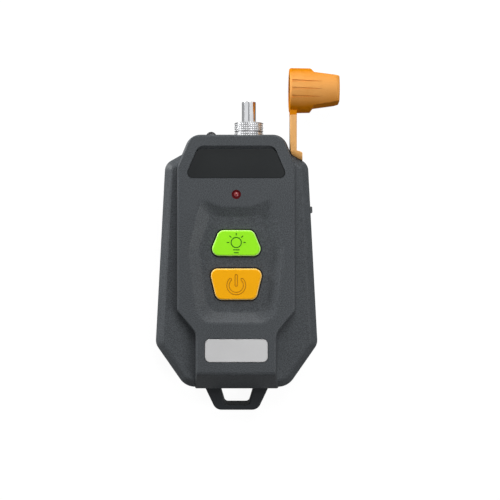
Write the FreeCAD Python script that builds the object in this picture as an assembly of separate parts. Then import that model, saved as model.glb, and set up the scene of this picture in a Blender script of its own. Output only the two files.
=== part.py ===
"""Pocket visual fault locator: a key-fob sized red-laser tester for 2.5 mm fibre ferrules.

Two moulded shells close on a circuit board, a battery and a laser barrel. The barrel's nose
comes out of the top end wall, where a knurled collar clamps it. A rubber dust cap stands on a
strap that is held in the shoulder of the shells. Two keys press board switches, and a hinged
cover closes the charging socket in the side.

Millimetres. The unit lies on its back: +Z is the front face's normal, +Y points to the
connector and +X to the right of the front. The origin is the centre of the flat rear face.
"""

import FreeCAD, Part
import math
import os

V = FreeCAD.Vector

# ---------------------------------------------------------------- body, seen from the front
TOP_Y = 34.8  # end wall with the connector
TOP_HALF = 12.65  # half width of the end wall, before its corners are rounded
NOTCH_X = 14.95  # where the sloping upper side meets the shoulder
NOTCH_Y = 29.35
SHOULDER_X = 19.5
SHOULDER_Y = 26.8
HIP_X = 22.1  # the widest point
HIP_Y = -22.35
FOOT_X = 13.95
FOOT_Y = -34.05
TOP_CORNER_R = 4.2
NOTCH_R = 0.6
SHOULDER_R = 3.2
HIP_R = 3.5
FOOT_R = 5.0

# ---------------------------------------------------------------- heights
THICKNESS = 17.0
SEAM_Z = 8.5  # the shells part here, at the height of the connector's axis
SIDE_RISE = 1.8  # upright side wall of the front shell, above the seam
BEVEL = 2.05  # bevel between the side and the wing, as wide as it is high
REAR_BEVEL_W = 2.0
REAR_BEVEL_H = 2.6
WALL = 1.8
FRONT_WALL = 1.6
SEAM_GROOVE = 0.2
LIP_H = 0.8
LIP_GAP = 0.08
LIP_ROOT = 0.5  # the lip starts this far up in the front shell
SPRING_DROP = 0.6  # inside, the bevel starts this far below the outer one

# ---------------------------------------------------------------- raised front panel
PANEL_HALF = 16.5  # at the seam
PANEL_DRAFT = 0.9  # how far its walls lean in from the seam to the front
PANEL_LOW_Y = -13.2
TAIL_HALF = 11.5
TAIL_Y = -19.2
TAIL_END_Y = -34.7
PANEL_CORNER_R = 2.2
TAIL_CORNER_R = 2.6
TAIL_END_R = 0.5
TAIL_SLANT_Y = -29.8  # the end of the panel falls away from here
TAIL_SLANT_DROP = 7.2
SLANT_REACH = 3.0  # times its own size, which the tool that cuts the slant spans
PANEL_EDGE_R = 0.45
SLANT_EDGE_R = 1.6
RIDGE_SOFT = 0.25  # the bevel's inner edge is broken by a narrow second bevel, this high

# ---------------------------------------------------------------- dished area round the keys
DISH_DEPTH = 1.2
DISH_TOP_HALF = 9.9
DISH_TOP_Y = 17.4
DISH_TONGUE_HALF = 3.8  # the flat round the indicator reaches down between the corners
DISH_TONGUE_Y = 15.1
DISH_MID_HALF = 13.2
DISH_MID_Y = 3.6
DISH_LOW_HALF = 10.8
DISH_LOW_Y = -16.5
DISH_FLOOR_TOP_HALF = 6.4
DISH_FLOOR_TOP_Y = 12.2
DISH_FLOOR_TONGUE_HALF = 3.0
DISH_FLOOR_TONGUE_Y = 11.8
DISH_FLOOR_MID_HALF = 9.7
DISH_FLOOR_LOW_HALF = 7.3
DISH_FLOOR_LOW_Y = -12.9
DISH_CORNER_R = 4.4
DISH_TOP_R = 1.6
DISH_TONGUE_R = 3.0
DISH_SIDE_R = 2.5
DISH_SOFT = 0.14  # the share of its slope that is eased at the rim and at the floor
DISH_EASE = 0.4  # how much of the slope is left there

# ---------------------------------------------------------------- plates set into the front
NAME_TOP_HALF = 10.45
NAME_LOW_HALF = 13.85
NAME_TOP_Y = 30.3
NAME_LOW_Y = 22.4
NAME_TOP_R = 2.2
NAME_LOW_R = 1.5
NAME_POCKET = 0.9
NAME_SLOPE = 0.8  # the pocket's upper wall leans back by this much
NAME_THICK = 0.5
PLATE_GAP = 0.12
RATING_HALF_W = 8.5
RATING_HALF_H = 3.2
RATING_Y = -23.5
RATING_R = 1.5
RATING_THICK = 0.4
RATING_POCKET = 0.45
RATING_EDGE_R = 0.2

# ---------------------------------------------------------------- keys and their switches
LAMP_TOP_Y = 8.6
LAMP_LOW_Y = 1.7
LAMP_TOP_HALF = 4.55
LAMP_LOW_HALF = 7.4
POWER_TOP_Y = -1.65
POWER_LOW_Y = -10.0
POWER_TOP_HALF = 7.3
POWER_LOW_HALF = 5.3
KEY_CORNER_R = 1.9
KEY_GAP = 0.25
KEY_EDGE_R = 0.5
KEY_PROUD = 1.1  # above the floor of the dish
KEY_FLANGE = 0.7
KEY_FLANGE_OUT = 0.7
KEY_TRAVEL = 0.3
SIGN_R = 2.2
SIGN_LINE = 0.85
SIGN_D = 0.3
SIGN_GROOVE = 0.22  # a groove this wide draws the sign's outline
SIGN_GAP_ANGLE = 45.0  # from the top of the ring to each of its ends
SIGN_Y = -6.1
SIGN_BAR_TOP = -3.55
SIGN_BAR_LOW = -6.05
SWITCH_SIZE = 6.0
SWITCH_H = 3.4
WELL_SPARE = 0.65  # left under a plunger that is pressed right down
SWITCH_TAB = 0.35  # half the width of a foot
SWITCH_TAB_H = 0.6
PLUNGER_R = 1.75
PLUNGER_DIP = 0.45  # inside its well

# ---------------------------------------------------------------- board and what it carries
BOARD_T = 1.6
SOLDER_LAP = 1.0  # the diode's pins lie on the board for this far
BOARD_LOW_Y = -18.6
BOARD_GAP = 0.6
BOARD_CORNER = 3.0
INDICATOR_Y = 18.1
INDICATOR_R = 1.1
INDICATOR_HOLE_GAP = 0.15
INDICATOR_L = 5.2
INDICATOR_PROUD = 0.1
LED_FLANGE_R = 1.75
LED_FLANGE_H = 0.8
LED_EDGE_R = 0.1
LEAD_R = 0.22
LEAD_PITCH = 2.54
TORCH_X = -7.0
TORCH_R = 1.5
TORCH_PROUD = 1.0
TORCH_L = 5.2
TORCH_GAP = 0.08
TORCH_BEND_Y = 2.5  # its leads bend this far above the board's edge
CHIP_L = 4.9
CHIP_W = 3.9
CHIP_H = 1.5
CHIP_STAND = 0.15
CHIP_LEADS = 4  # on each side
CHIP_PITCH = 1.27
CHIP_LEAD_W = 0.4
CHIP_LEAD_T = 0.25
CHIP_LEAD_Z = 0.45
CHIP_LEAD_OUT = 1.0
CHIP_LEAD_KNEE = 0.5
CHIP_X = -9.5
DRIVER_Y = 11.5
CHARGER_Y = -6.0
CAPACITOR_L = 2.0
CAPACITOR_W = 1.25
CAPACITOR_H = 1.1
CAPACITOR_PITCH = 3.0
CAPACITORS = 6

# ---------------------------------------------------------------- battery
BATTERY_HALF_W = 12.4
BATTERY_TOP_Y = 14.6
BATTERY_LOW_Y = -14.4
BATTERY_T = 5.0
BATTERY_EDGE_R = 1.8
SEAL_L = 2.8  # the thin sealed end of the cell
SEAL_IN = 1.0  # in from the faces of the cell
PAD_T = 0.3
PAD_MARGIN = 4.0  # in from the edges of the cell
RIB_T = 1.0
RIB_H = 3.6
RIB_GAP = 0.15
WIRE_R = 0.45
WIRE_X = 4.0
WIRE_BEND_R = 1.2
WIRE_OUT = 2.0

# ---------------------------------------------------------------- laser barrel and connector
CONNECTOR_X = 3.35
BARREL_R = 4.4
BARREL_L = 10.6
NOSE_R = 3.0
COLLAR_R = 4.0
COLLAR_H = 3.3  # above the end wall
COLLAR_SINK = 0.7  # its foot stands this deep in the end wall
COLLAR_SEAT_GAP = 0.12
COLLAR_LIP = 0.9
COLLAR_EDGE = 0.3
COLLAR_GROOVE_Y = 0.6
COLLAR_GROOVE_W = 0.3
COLLAR_GROOVE_D = 0.25
TUBE_R = 1.95
TUBE_UP = 9.1  # above the end wall
TUBE_LIP = 0.5
TUBE_EDGE_R = 0.17
TUBE_MOUTH_R = 1.4
TUBE_MOUTH_EDGE_R = 0.1
SLEEVE_R = 1.6
FERRULE_R = 1.25
SLEEVE_SLOT = 0.4
SLEEVE_DOWN = 1.5  # below the end wall
RUN_GAP = 0.05
DIODE_R = 2.8
DIODE_FLANGE_T = 1.2
DIODE_CAN_R = 1.8
DIODE_CAN_L = 2.3
DIODE_PIN_L = 3.4
LENS_R = 1.5
LENS_L = 2.0
LENS_AT = 1.0  # in front of the diode's can
LENS_EDGE_R = 0.1
LENS_CURVE_R = 0.9
BEAM_R = 1.05
CRADLE_T = 1.4
CRADLE_Y1 = 30.2
CRADLE_Y2 = 24.4

# ---------------------------------------------------------------- charging socket and its cover
PORT_Y = 9.3
PORT_W = 7.6
PORT_H = 2.6
PORT_L = 5.4
PORT_SHELL = 0.3
PORT_SET_BACK = 1.3  # mouth of the socket, in from the side of the body
TONGUE_T = 0.7
TONGUE_SIDE_GAP = 0.9
TONGUE_END_GAP = 0.36
COVER_TOP = 6.3  # along the side, from the middle of the socket
COVER_HINGE = 5.7
COVER_T = 1.0
COVER_LOW_Z = 4.1
COVER_GAP = 0.12
COVER_PLUG_L = 1.0
COVER_PLUG_GAP = 0.32
COVER_TAB_W = 1.8
COVER_TAB_OUT = 0.75
COVER_TAB_AT = 0.3  # below the cover's top end
COVER_TAB_IN = 1.0  # in from the cover's front and rear edges
COVER_TAB_R = 0.3
COVER_EDGE_R = 0.25
PIVOT_R = 0.35
PIVOT_L = 0.6
KNUCKLE_R = 0.5

# ---------------------------------------------------------------- dust cap and strap
STRAP_X = 14.6  # face of the strap nearest the connector
STRAP_T = 1.8
STRAP_W = 5.6
LUG_L = 0.8  # the strap's stub on the cap, below the rim
STRAP_TOP_GAP = 0.1
FOOT_STEP = 1.55
FOOT_TOP_Y = 30.1
FOOT_EDGE_R = 0.35
STRAP_EDGE_R = 0.25
SEAT_GAP = 0.06
NECK_HALF = 0.65
NECK_LOW_Z = 6.4
NECK_TOP_Z = 9.2
ANCHOR_HALF = 1.45
ANCHOR_T = 1.0
ANCHOR_GAP = 0.1
ANCHOR_LOW_Z = 5.4
ANCHOR_TOP_Z = 9.4
NECK_AT = 1.45  # along the shoulder, from the notch
BEND_IN = 0.27  # the strap bends about a line this far inside its near face
RIM_OVER = 0.2
CAP_SEAT_GAP = 0.3
CAP_R = 6.15
CAP_L = 13.5
CAP_BORE_GAP = 0.55
CAP_BORE_L = 3.6
CAP_TIP_R = 2.4
CAP_TIP_L = 9.2
CAP_TIP_END = 0.5
CAP_RIM_R = 0.55
CAP_END_R = 1.0
CAP_TAPER = 0.25
GRIP_AT = 5.3
GRIP_STEP = 1.3
GRIP_NEAR = 4.85  # half width between the grip faces, level with the axis
GRIP_FAR = 4.1
GRIP_TIP = 3.8
GRIP_CLEAR = 0.25  # its sections clear the round of the cap by this
GRIP_FRONT_NEAR = 4.2  # the same, level with the front of the cap
GRIP_FRONT_FAR = 3.35
GRIP_FRONT_TIP = 3.1
GROOVES = 3
GROOVE_ANGLE = 19.8
GROOVE_TURN = 3.2  # the middle one stands this far round from the front
GROOVE_W = 0.85  # at the mouth; they narrow to nothing
GROOVE_D = 0.3
GROOVE_L = 8.4

# ---------------------------------------------------------------- carrying loop
LOOP_HALF = 9.5
LOOP_TIP_HALF = 5.8
LOOP_END_Y = -40.9
LOOP_EYE_HALF = 4.7
LOOP_EYE_TIP_HALF = 3.3
LOOP_EYE_END_Y = -39.5
LOOP_EYE_DRAFT = 0.6  # the eye's end wall leans back by this, and so catches the light
LOOP_EYE_DOWN = 0.2  # the eye starts this far below the foot of the case
LOOP_R = 2.5
LOOP_EYE_R = 1.1
LOOP_LOW_Z = 2.9
LOOP_T = 4.4
LOOP_EDGE_R = 0.35

# ---------------------------------------------------------------- screws
SCREW_TOP_X = 12.2
SCREW_TOP_Y = 23.8
SCREW_LOW_X = 13.2
SCREW_LOW_Y = -24.0
BOSS_R = 2.6
SCREW_R = 0.8
SCREW_HEAD_R = 1.7
SCREW_HEAD_H = 1.2
SCREW_SINK = 2.4  # the head's outer face lies this deep in its counterbore
SCREW_BITE = 3.0
SCREW_GAP = 0.15
PILOT_GAP = 0.02
SOCKET_SHARE = 0.55  # of the head's radius, to the corners of the drive
SOCKET_SIDES = 6
BOARD_SCREW_X = 12.4
BOARD_SCREW_TOP_Y = 17.3
BOARD_SCREW_LOW_Y = -16.4
PEG_R = 1.6
BOARD_SCREW_R = 0.6
BOARD_SCREW_HEAD_R = 1.2
BOARD_SCREW_HEAD_H = 0.65
BOARD_SCREW_BITE = 3.0

MIN_R = 0.15  # least corner radius of an inset outline
NUDGE = 1.0  # cutting tools run this far past what they cut
SLACK = 0.01  # an edge this near a place counts as being there
SAME_PLACE = 1e-6  # points nearer than this are one point
FULL_TURN = 360
QUARTER_TURN = 90

# ---------------------------------------------------------------- derived places
SIDE_TOP_Z = SEAM_Z + SIDE_RISE
RIDGE_Z = SIDE_TOP_Z + BEVEL
DISH_Z = THICKNESS - DISH_DEPTH
KEY_WALL_Z = DISH_Z - FRONT_WALL  # underside of the dish, where the keys' flanges stop
KEY_BASE_Z = KEY_WALL_Z - KEY_FLANGE
BOARD_LOW_Z = SEAM_Z - BOARD_T / 2
BOARD_TOP_Z = SEAM_Z + BOARD_T / 2
INNER_END_Y = TOP_Y - WALL
BOARD_TOP_Y = INNER_END_Y - BARREL_L - DIODE_PIN_L + SOLDER_LAP
NOSE_END_Y = TOP_Y + COLLAR_H - COLLAR_LIP - PILOT_GAP  # just under the collar's lip
SIDE_ANGLE = math.degrees(math.atan2(HIP_X - SHOULDER_X, SHOULDER_Y - HIP_Y))


def side_x(y):
    """The body's half width at the seam, on the long side at y."""
    return SHOULDER_X + (SHOULDER_Y - y) * math.tan(math.radians(SIDE_ANGLE))


# ================================================================ outlines
def mirrored(left):
    """A closed outline from its left half, listed from the top to the bottom."""
    return [*left, *[(-x, y, r) for x, y, r in reversed(left)]]


def body_outline():
    return mirrored(
        [
            (-TOP_HALF, TOP_Y, TOP_CORNER_R),
            (-NOTCH_X, NOTCH_Y, NOTCH_R),
            (-SHOULDER_X, SHOULDER_Y, SHOULDER_R),
            (-HIP_X, HIP_Y, HIP_R),
            (-FOOT_X, FOOT_Y, FOOT_R),
        ]
    )


def panel_outline():
    lean = (NOTCH_X - TOP_HALF) / (TOP_Y - NOTCH_Y)
    corner_y = TOP_Y - (PANEL_HALF - TOP_HALF) / lean
    return mirrored(
        [
            (-TOP_HALF, TOP_Y, TOP_CORNER_R),
            (-PANEL_HALF, corner_y, PANEL_CORNER_R),
            (-PANEL_HALF, PANEL_LOW_Y, PANEL_CORNER_R),
            (-TAIL_HALF, TAIL_Y, TAIL_CORNER_R),
            (-TAIL_HALF, TAIL_END_Y, TAIL_END_R),
        ]
    )


def trapezoid(top_half, top_y, low_half, low_y, top_r, low_r):
    return mirrored([(-top_half, top_y, top_r), (-low_half, low_y, low_r)])


def turn_at(points, i):
    """Unit directions into and out of corner i, and the sine of the turn between them."""
    x, y = points[i][0], points[i][1]
    before, after = points[i - 1], points[(i + 1) % len(points)]
    into = V(x - before[0], y - before[1], 0).normalize()
    out = V(after[0] - x, after[1] - y, 0).normalize()
    return into, out, into.x * out.y - into.y * out.x


def inset(points, distance):
    """The outline moved inwards. Its corners are listed anticlockwise and stay as many."""
    moved = []
    for i, (x, y, r) in enumerate(points):
        into, out, sine = turn_at(points, i)
        share = distance / (1 + into.dot(out))
        inward = V(-into.y - out.y, into.x + out.x, 0) * share
        new_r = r - distance if sine > 0 else r + distance
        moved.append((x + inward.x, y + inward.y, max(new_r, MIN_R)))
    return moved


def outline_wire(points, z):
    """A closed wire of straight sides and tangent arcs at height z."""
    edges = []
    ends = []
    for i, (x, y, r) in enumerate(points):
        into, out = turn_at(points, i)[:2]
        half = math.acos(max(-1.0, min(1.0, into.dot(out)))) / 2
        reach = r * math.tan(half)
        corner = V(x, y, z)
        towards_centre = (out - into).normalize()
        middle = corner + towards_centre * (r / math.cos(half) - r)
        ends.append((corner - into * reach, middle, corner + out * reach))
    for i, (start, middle, end) in enumerate(ends):
        if start.distanceToPoint(end) > SAME_PLACE:
            edges.append(Part.Arc(start, middle, end).toShape())
        following = ends[(i + 1) % len(ends)][0]
        if end.distanceToPoint(following) > SAME_PLACE:
            edges.append(Part.LineSegment(end, following).toShape())
    return Part.Wire(edges)


def prism(points, low, high):
    return Part.Face(outline_wire(points, low)).extrude(V(0, 0, high - low))


def frustum(low_points, low, high_points, high):
    wires = [outline_wire(low_points, low), outline_wire(high_points, high)]
    return Part.makeLoft(wires, True, True)


# ================================================================ small solids
def box(x0, x1, y0, y1, z0, z1):
    return Part.makeBox(x1 - x0, y1 - y0, z1 - z0, V(x0, y0, z0))


def upright(x, y, r, low, high):
    return Part.makeCylinder(r, high - low, V(x, y, low))


def turned(profile, x=CONNECTOR_X, y=0.0, z=SEAM_Z, axis=V(0, 1, 0)):
    """A solid of revolution. profile lists (radius, distance along the axis, corner radius)."""
    solid = Part.Face(outline_wire(profile, 0)).revolve(V(0, 0, 0), V(0, 1, 0), FULL_TURN)
    solid.Placement = FreeCAD.Placement(V(x, y, z), FreeCAD.Rotation(V(0, 1, 0), axis))
    return solid


def sharp(*pairs):
    """A profile with square corners."""
    return [(r, a, 0) for r, a in pairs]


def rod_y(x, z, r, y0, y1):
    return Part.makeCylinder(r, y1 - y0, V(x, y0, z), V(0, 1, 0))


def side_wedge(points_yz, half_width):
    """A prism along X from a polygon in the YZ plane."""
    wire = Part.makePolygon([V(-half_width, y, z) for y, z in [*points_yz, points_yz[0]]])
    return Part.Face(wire).extrude(V(2 * half_width, 0, 0))


def plan(points, low, high):
    """A prism from straight-sided plan points (x, y)."""
    wire = Part.makePolygon([V(x, y, low) for x, y in [*points, points[0]]])
    return Part.Face(wire).extrude(V(0, 0, high - low))


def fused(first, *others):
    return first.fuse(list(others)).removeSplitter()


def rounded(solid, radius, chosen):
    """The solid with a fillet on each edge that chosen accepts."""
    edges = [e for e in solid.Edges if chosen(e)]
    return solid.makeFillet(radius, edges) if edges else solid


def level(edge, z):
    """True for an edge that lies wholly at height z."""
    span = edge.BoundBox
    return abs(span.ZMin - z) < SLACK and abs(span.ZMax - z) < SLACK


def level_y(edge, y):
    span = edge.BoundBox
    return abs(span.YMin - y) < SLACK and abs(span.YMax - y) < SLACK


# ================================================================ shells
def slant_tool(shift):
    """What lies beyond the slanted end of the panel, moved inwards by shift."""
    run = TAIL_SLANT_Y - TAIL_END_Y
    length = math.hypot(run, TAIL_SLANT_DROP)
    top_y = TAIL_SLANT_Y + run * SLANT_REACH + shift * TAIL_SLANT_DROP / length
    top_z = THICKNESS + TAIL_SLANT_DROP * SLANT_REACH - shift * run / length
    low_y = top_y - run * (1 + 2 * SLANT_REACH)
    low_z = top_z - TAIL_SLANT_DROP * (1 + 2 * SLANT_REACH)
    far_y = low_y - TAIL_SLANT_DROP
    return side_wedge([(top_y, top_z), (low_y, low_z), (far_y, low_z), (far_y, top_z)], 2 * TAIL_HALF)


def dish(lift=0.0):
    """The dished area as a solid, moved up by lift. Its slope is eased at both ends."""
    rim = mirrored(
        [
            (-DISH_TONGUE_HALF, DISH_TONGUE_Y, DISH_TONGUE_R),
            (-DISH_TOP_HALF, DISH_TOP_Y, DISH_TOP_R),
            (-DISH_MID_HALF, DISH_MID_Y, DISH_SIDE_R),
            (-DISH_LOW_HALF, DISH_LOW_Y, DISH_CORNER_R),
        ]
    )
    floor = mirrored(
        [
            (-DISH_FLOOR_TONGUE_HALF, DISH_FLOOR_TONGUE_Y, DISH_TONGUE_R),
            (-DISH_FLOOR_TOP_HALF, DISH_FLOOR_TOP_Y, DISH_TOP_R),
            (-DISH_FLOOR_MID_HALF, DISH_MID_Y, DISH_SIDE_R),
            (-DISH_FLOOR_LOW_HALF, DISH_FLOOR_LOW_Y, DISH_CORNER_R),
        ]
    )
    eased = DISH_SOFT * DISH_EASE
    stages = [(0, 0), (DISH_SOFT, eased), (1 - DISH_SOFT, 1 - eased), (1, 1)]
    wires = [
        outline_wire(between(rim, floor, across), THICKNESS - DISH_DEPTH * down + lift)
        for across, down in stages
    ]
    bowl = Part.makeLoft(wires, True, True)
    return fused(bowl, prism(rim, THICKNESS + lift, THICKNESS + lift + FRONT_WALL))


def between(first, second, t):
    """The outline a share t of the way from the first to the second."""
    return [
        tuple(a + (b - a) * t for a, b in zip(corner, other))
        for corner, other in zip(first, second)
    ]


def name_outline(rise=0.0):
    """The name plate's pocket, its upper edge raised by rise."""
    lean = (NAME_LOW_HALF - NAME_TOP_HALF) / (NAME_TOP_Y - NAME_LOW_Y)
    return trapezoid(
        NAME_TOP_HALF - lean * rise,
        NAME_TOP_Y + rise,
        NAME_LOW_HALF,
        NAME_LOW_Y,
        NAME_TOP_R,
        NAME_LOW_R,
    )


def rating_outline():
    top = RATING_Y + RATING_HALF_H
    return trapezoid(
        RATING_HALF_W, top, RATING_HALF_W, top - 2 * RATING_HALF_H, RATING_R, RATING_R
    )


def name_pocket():
    """The pocket, with an upper wall that leans back from the plate's edge."""
    rim = name_outline(NAME_SLOPE)
    bowl = frustum(name_outline(), THICKNESS - NAME_POCKET, rim, THICKNESS)
    return fused(bowl, prism(rim, THICKNESS, THICKNESS + NUDGE))


def lamp_outline():
    return trapezoid(
        LAMP_TOP_HALF, LAMP_TOP_Y, LAMP_LOW_HALF, LAMP_LOW_Y, KEY_CORNER_R, KEY_CORNER_R
    )


def power_outline():
    return trapezoid(
        POWER_TOP_HALF, POWER_TOP_Y, POWER_LOW_HALF, POWER_LOW_Y, KEY_CORNER_R, KEY_CORNER_R
    )


def ring(outer_in, inner_in, low, high):
    """A band that follows the body's outline between two insets."""
    outer = prism(inset(body_outline(), outer_in), low, high)
    return outer.cut(prism(inset(body_outline(), inner_in), low - NUDGE, high + NUDGE))


def screw_places():
    return [
        (side * x, y)
        for x, y in ((SCREW_TOP_X, SCREW_TOP_Y), (SCREW_LOW_X, SCREW_LOW_Y))
        for side in (-1, 1)
    ]


def board_screw_places():
    return [
        (side * BOARD_SCREW_X, y)
        for y in (BOARD_SCREW_TOP_Y, BOARD_SCREW_LOW_Y)
        for side in (-1, 1)
    ]


def bosses(low, high):
    return [upright(x, y, BOSS_R, low, high) for x, y in screw_places()]


def cradles(low, high):
    half = BARREL_R + CRADLE_T
    return [
        box(CONNECTOR_X - half, CONNECTOR_X + half, y - CRADLE_T / 2, y + CRADLE_T / 2, low, high)
        for y in (CRADLE_Y1, CRADLE_Y2)
    ]


def barrel_room():
    """The space that the laser barrel, its nose and the collar need in both shells."""
    room = rod_y(
        CONNECTOR_X, SEAM_Z, BARREL_R + RUN_GAP, INNER_END_Y - BARREL_L - NUDGE, INNER_END_Y
    )
    nose = rod_y(CONNECTOR_X, SEAM_Z, NOSE_R + RUN_GAP, INNER_END_Y - NUDGE, TOP_Y + NUDGE)
    seat_r = COLLAR_R + COLLAR_SEAT_GAP
    seat = rod_y(CONNECTOR_X, SEAM_Z, seat_r, TOP_Y - COLLAR_SINK, TOP_Y + NUDGE)
    return fused(room, nose, seat)


def torch_hole():
    return rod_y(TORCH_X, SEAM_Z, TORCH_R + TORCH_GAP, INNER_END_Y - NUDGE, TOP_Y + NUDGE)


def on_shoulder(solid):
    """Move a solid from (along the shoulder, out of it, z) to its place on the right."""
    drop = math.degrees(math.atan2(NOTCH_Y - SHOULDER_Y, SHOULDER_X - NOTCH_X))
    solid.rotate(V(0, 0, 0), V(0, 0, 1), -drop)
    solid.translate(V(NOTCH_X, NOTCH_Y, 0))
    return solid


def at_port(solid):
    """Move a solid from (out of the side, up the side, z) to the charging port."""
    solid.rotate(V(0, 0, 0), V(0, 0, 1), SIDE_ANGLE)
    solid.translate(V(side_x(PORT_Y), PORT_Y, 0))
    return solid


def strap_slot():
    half = NECK_HALF + SEAT_GAP
    low = NECK_LOW_Z - SEAT_GAP
    high = NECK_TOP_Z + SEAT_GAP
    return on_shoulder(box(NECK_AT - half, NECK_AT + half, -WALL - NUDGE, NUDGE, low, high))


def hinge_pins(gap):
    """The port cover's two pivots, or the holes for them."""
    low = COVER_LOW_Z - PIVOT_L - gap
    high = SEAM_Z - COVER_GAP + PIVOT_L + gap
    return at_port(upright(-COVER_T / 2, KNUCKLE_R - COVER_HINGE, PIVOT_R + gap, low, high))


def port_opening():
    """The recess for the cover and the way through the wall for the socket."""
    recess = box(
        -COVER_T - COVER_GAP,
        NUDGE,
        -COVER_HINGE - COVER_GAP,
        COVER_TOP + COVER_GAP,
        COVER_LOW_Z - COVER_GAP,
        SEAM_Z + NUDGE,
    )
    low = BOARD_LOW_Z - PORT_H - 2 * COVER_GAP
    half = PORT_W / 2 + COVER_GAP
    way = box(-WALL - NUDGE, NUDGE, -half, half, low, BOARD_LOW_Z + COVER_GAP)
    return at_port(recess.fuse(way))


def lip():
    band = ring(WALL / 2 + LIP_GAP, WALL, SEAM_Z - LIP_H, SEAM_Z + LIP_ROOT)
    top_gap = box(-TOP_HALF, TOP_HALF, INNER_END_Y - NUDGE, TOP_Y, 0, THICKNESS)
    side_gap = at_port(box(-2 * WALL, NUDGE, -COVER_HINGE - WALL, COVER_TOP + WALL, 0, THICKNESS))
    strap_gap = on_shoulder(
        box(-NUDGE, NECK_AT + 2 * ANCHOR_HALF, -2 * WALL, NUDGE, 0, THICKNESS)
    )
    return band.cut([top_gap, side_gap, strap_gap])


def across_tail(edge):
    """True for an edge that runs straight across the panel's tail."""
    span = edge.BoundBox
    return span.YMax < TAIL_Y and span.YMax - span.YMin < SLACK


def front_outside():
    body = body_outline()
    panel = panel_outline()
    side = prism(body, SEAM_Z, SIDE_TOP_Z)
    wing = frustum(body, SIDE_TOP_Z, inset(body, BEVEL - RIDGE_SOFT), RIDGE_Z - RIDGE_SOFT)
    ridge = frustum(
        inset(body, BEVEL - RIDGE_SOFT),
        RIDGE_Z - RIDGE_SOFT,
        inset(body, BEVEL + RIDGE_SOFT),
        RIDGE_Z,
    )
    raised = frustum(panel, SEAM_Z, inset(panel, PANEL_DRAFT), THICKNESS)
    raised = raised.cut(slant_tool(0))
    raised = rounded(raised, SLANT_EDGE_R, lambda e: level(e, THICKNESS) and level_y(e, TAIL_SLANT_Y))
    raised = rounded(raised, PANEL_EDGE_R, lambda e: level(e, THICKNESS) and not across_tail(e))
    return fused(side, wing, ridge, raised)


def front_inside():
    body = body_outline()
    panel = panel_outline()
    spring_z = SIDE_TOP_Z - SPRING_DROP
    side = prism(inset(body, WALL), SEAM_Z - NUDGE, spring_z)
    wing = frustum(inset(body, WALL), spring_z, inset(body, BEVEL + WALL), RIDGE_Z - FRONT_WALL)
    raised = frustum(inset(panel, WALL), SEAM_Z, inset(panel, PANEL_DRAFT + WALL), THICKNESS - FRONT_WALL)
    raised = raised.cut([dish(-FRONT_WALL), slant_tool(WALL)])
    return fused(side, wing, raised)


def key_opening(outline):
    return prism(inset(outline, -KEY_GAP), KEY_BASE_Z - NUDGE, THICKNESS + NUDGE)


def front_case():
    kept = Part.makeCompound([*bosses(SEAM_Z, THICKNESS), *cradles(SEAM_Z, THICKNESS)])
    shell = front_outside().cut(front_inside().cut(kept))
    shell = shell.fuse(lip())
    led_hole = upright(
        0, INDICATOR_Y, INDICATOR_R + INDICATOR_HOLE_GAP, KEY_BASE_Z, THICKNESS + NUDGE
    )
    tip_z = SEAM_Z + SCREW_BITE + SCREW_GAP
    pilots = [
        upright(x, y, SCREW_R + PILOT_GAP, SEAM_Z - NUDGE, tip_z) for x, y in screw_places()
    ]
    tools = [
        dish(),
        name_pocket(),
        prism(rating_outline(), THICKNESS - RATING_POCKET, THICKNESS + NUDGE),
        key_opening(lamp_outline()),
        key_opening(power_outline()),
        led_hole,
        barrel_room(),
        torch_hole(),
        strap_slot(),
        hinge_pins(SEAT_GAP),
        *pilots,
    ]
    return shell.cut(tools).removeSplitter()


def loop_eye(end_y):
    return mirrored(
        [
            (-LOOP_EYE_HALF, FOOT_Y - LOOP_EYE_DOWN, LOOP_EYE_R / 2),
            (-LOOP_EYE_TIP_HALF, end_y, LOOP_EYE_R),
        ]
    )


def loop_solid():
    outline = mirrored(
        [(-LOOP_HALF, FOOT_Y + WALL / 2, 0), (-LOOP_TIP_HALF, LOOP_END_Y, LOOP_R)]
    )
    top_z = LOOP_LOW_Z + LOOP_T
    narrow = loop_eye(LOOP_EYE_END_Y + LOOP_EYE_DRAFT)
    wide = loop_eye(LOOP_EYE_END_Y)
    eye = fused(prism(narrow, LOOP_LOW_Z - NUDGE, LOOP_LOW_Z), frustum(narrow, LOOP_LOW_Z, wide, top_z))
    loop = prism(outline, LOOP_LOW_Z, top_z).cut(eye)
    return rounded(loop, LOOP_EDGE_R, lambda e: level(e, LOOP_LOW_Z) or level(e, top_z))


def rear_outside():
    body = body_outline()
    foot = frustum(inset(body, REAR_BEVEL_W), 0, body, REAR_BEVEL_H)
    side = prism(body, REAR_BEVEL_H, SEAM_Z - SEAM_GROOVE)
    rim = prism(inset(body, SEAM_GROOVE), SEAM_Z - SEAM_GROOVE - NUDGE, SEAM_Z)
    return fused(foot, side, rim, loop_solid())


def rear_inside():
    body = body_outline()
    floor = inset(body, REAR_BEVEL_W + WALL / 2)
    foot = frustum(floor, WALL, inset(body, WALL), REAR_BEVEL_H + WALL / 2)
    return fused(foot, prism(inset(body, WALL), REAR_BEVEL_H + WALL / 2, SEAM_Z + NUDGE))


def battery_ribs():
    """Low ribs on the floor that keep the cell from sliding."""
    side = BATTERY_HALF_W + RIB_GAP
    top = BATTERY_TOP_Y + RIB_GAP
    foot = BATTERY_LOW_Y - RIB_GAP
    plans = [(-side / 2, side / 2, foot - RIB_T, foot)]
    for x in (-side + RIB_T, side - RIB_T - WIRE_X):
        plans.append((x, x + WIRE_X, top, top + RIB_T))
    for x in (-side - RIB_T, side):
        plans.append((x, x + RIB_T, foot / 2, 0))
    return [box(x0, x1, y0, y1, WALL, WALL + RIB_H) for x0, x1, y0, y1 in plans]


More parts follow.
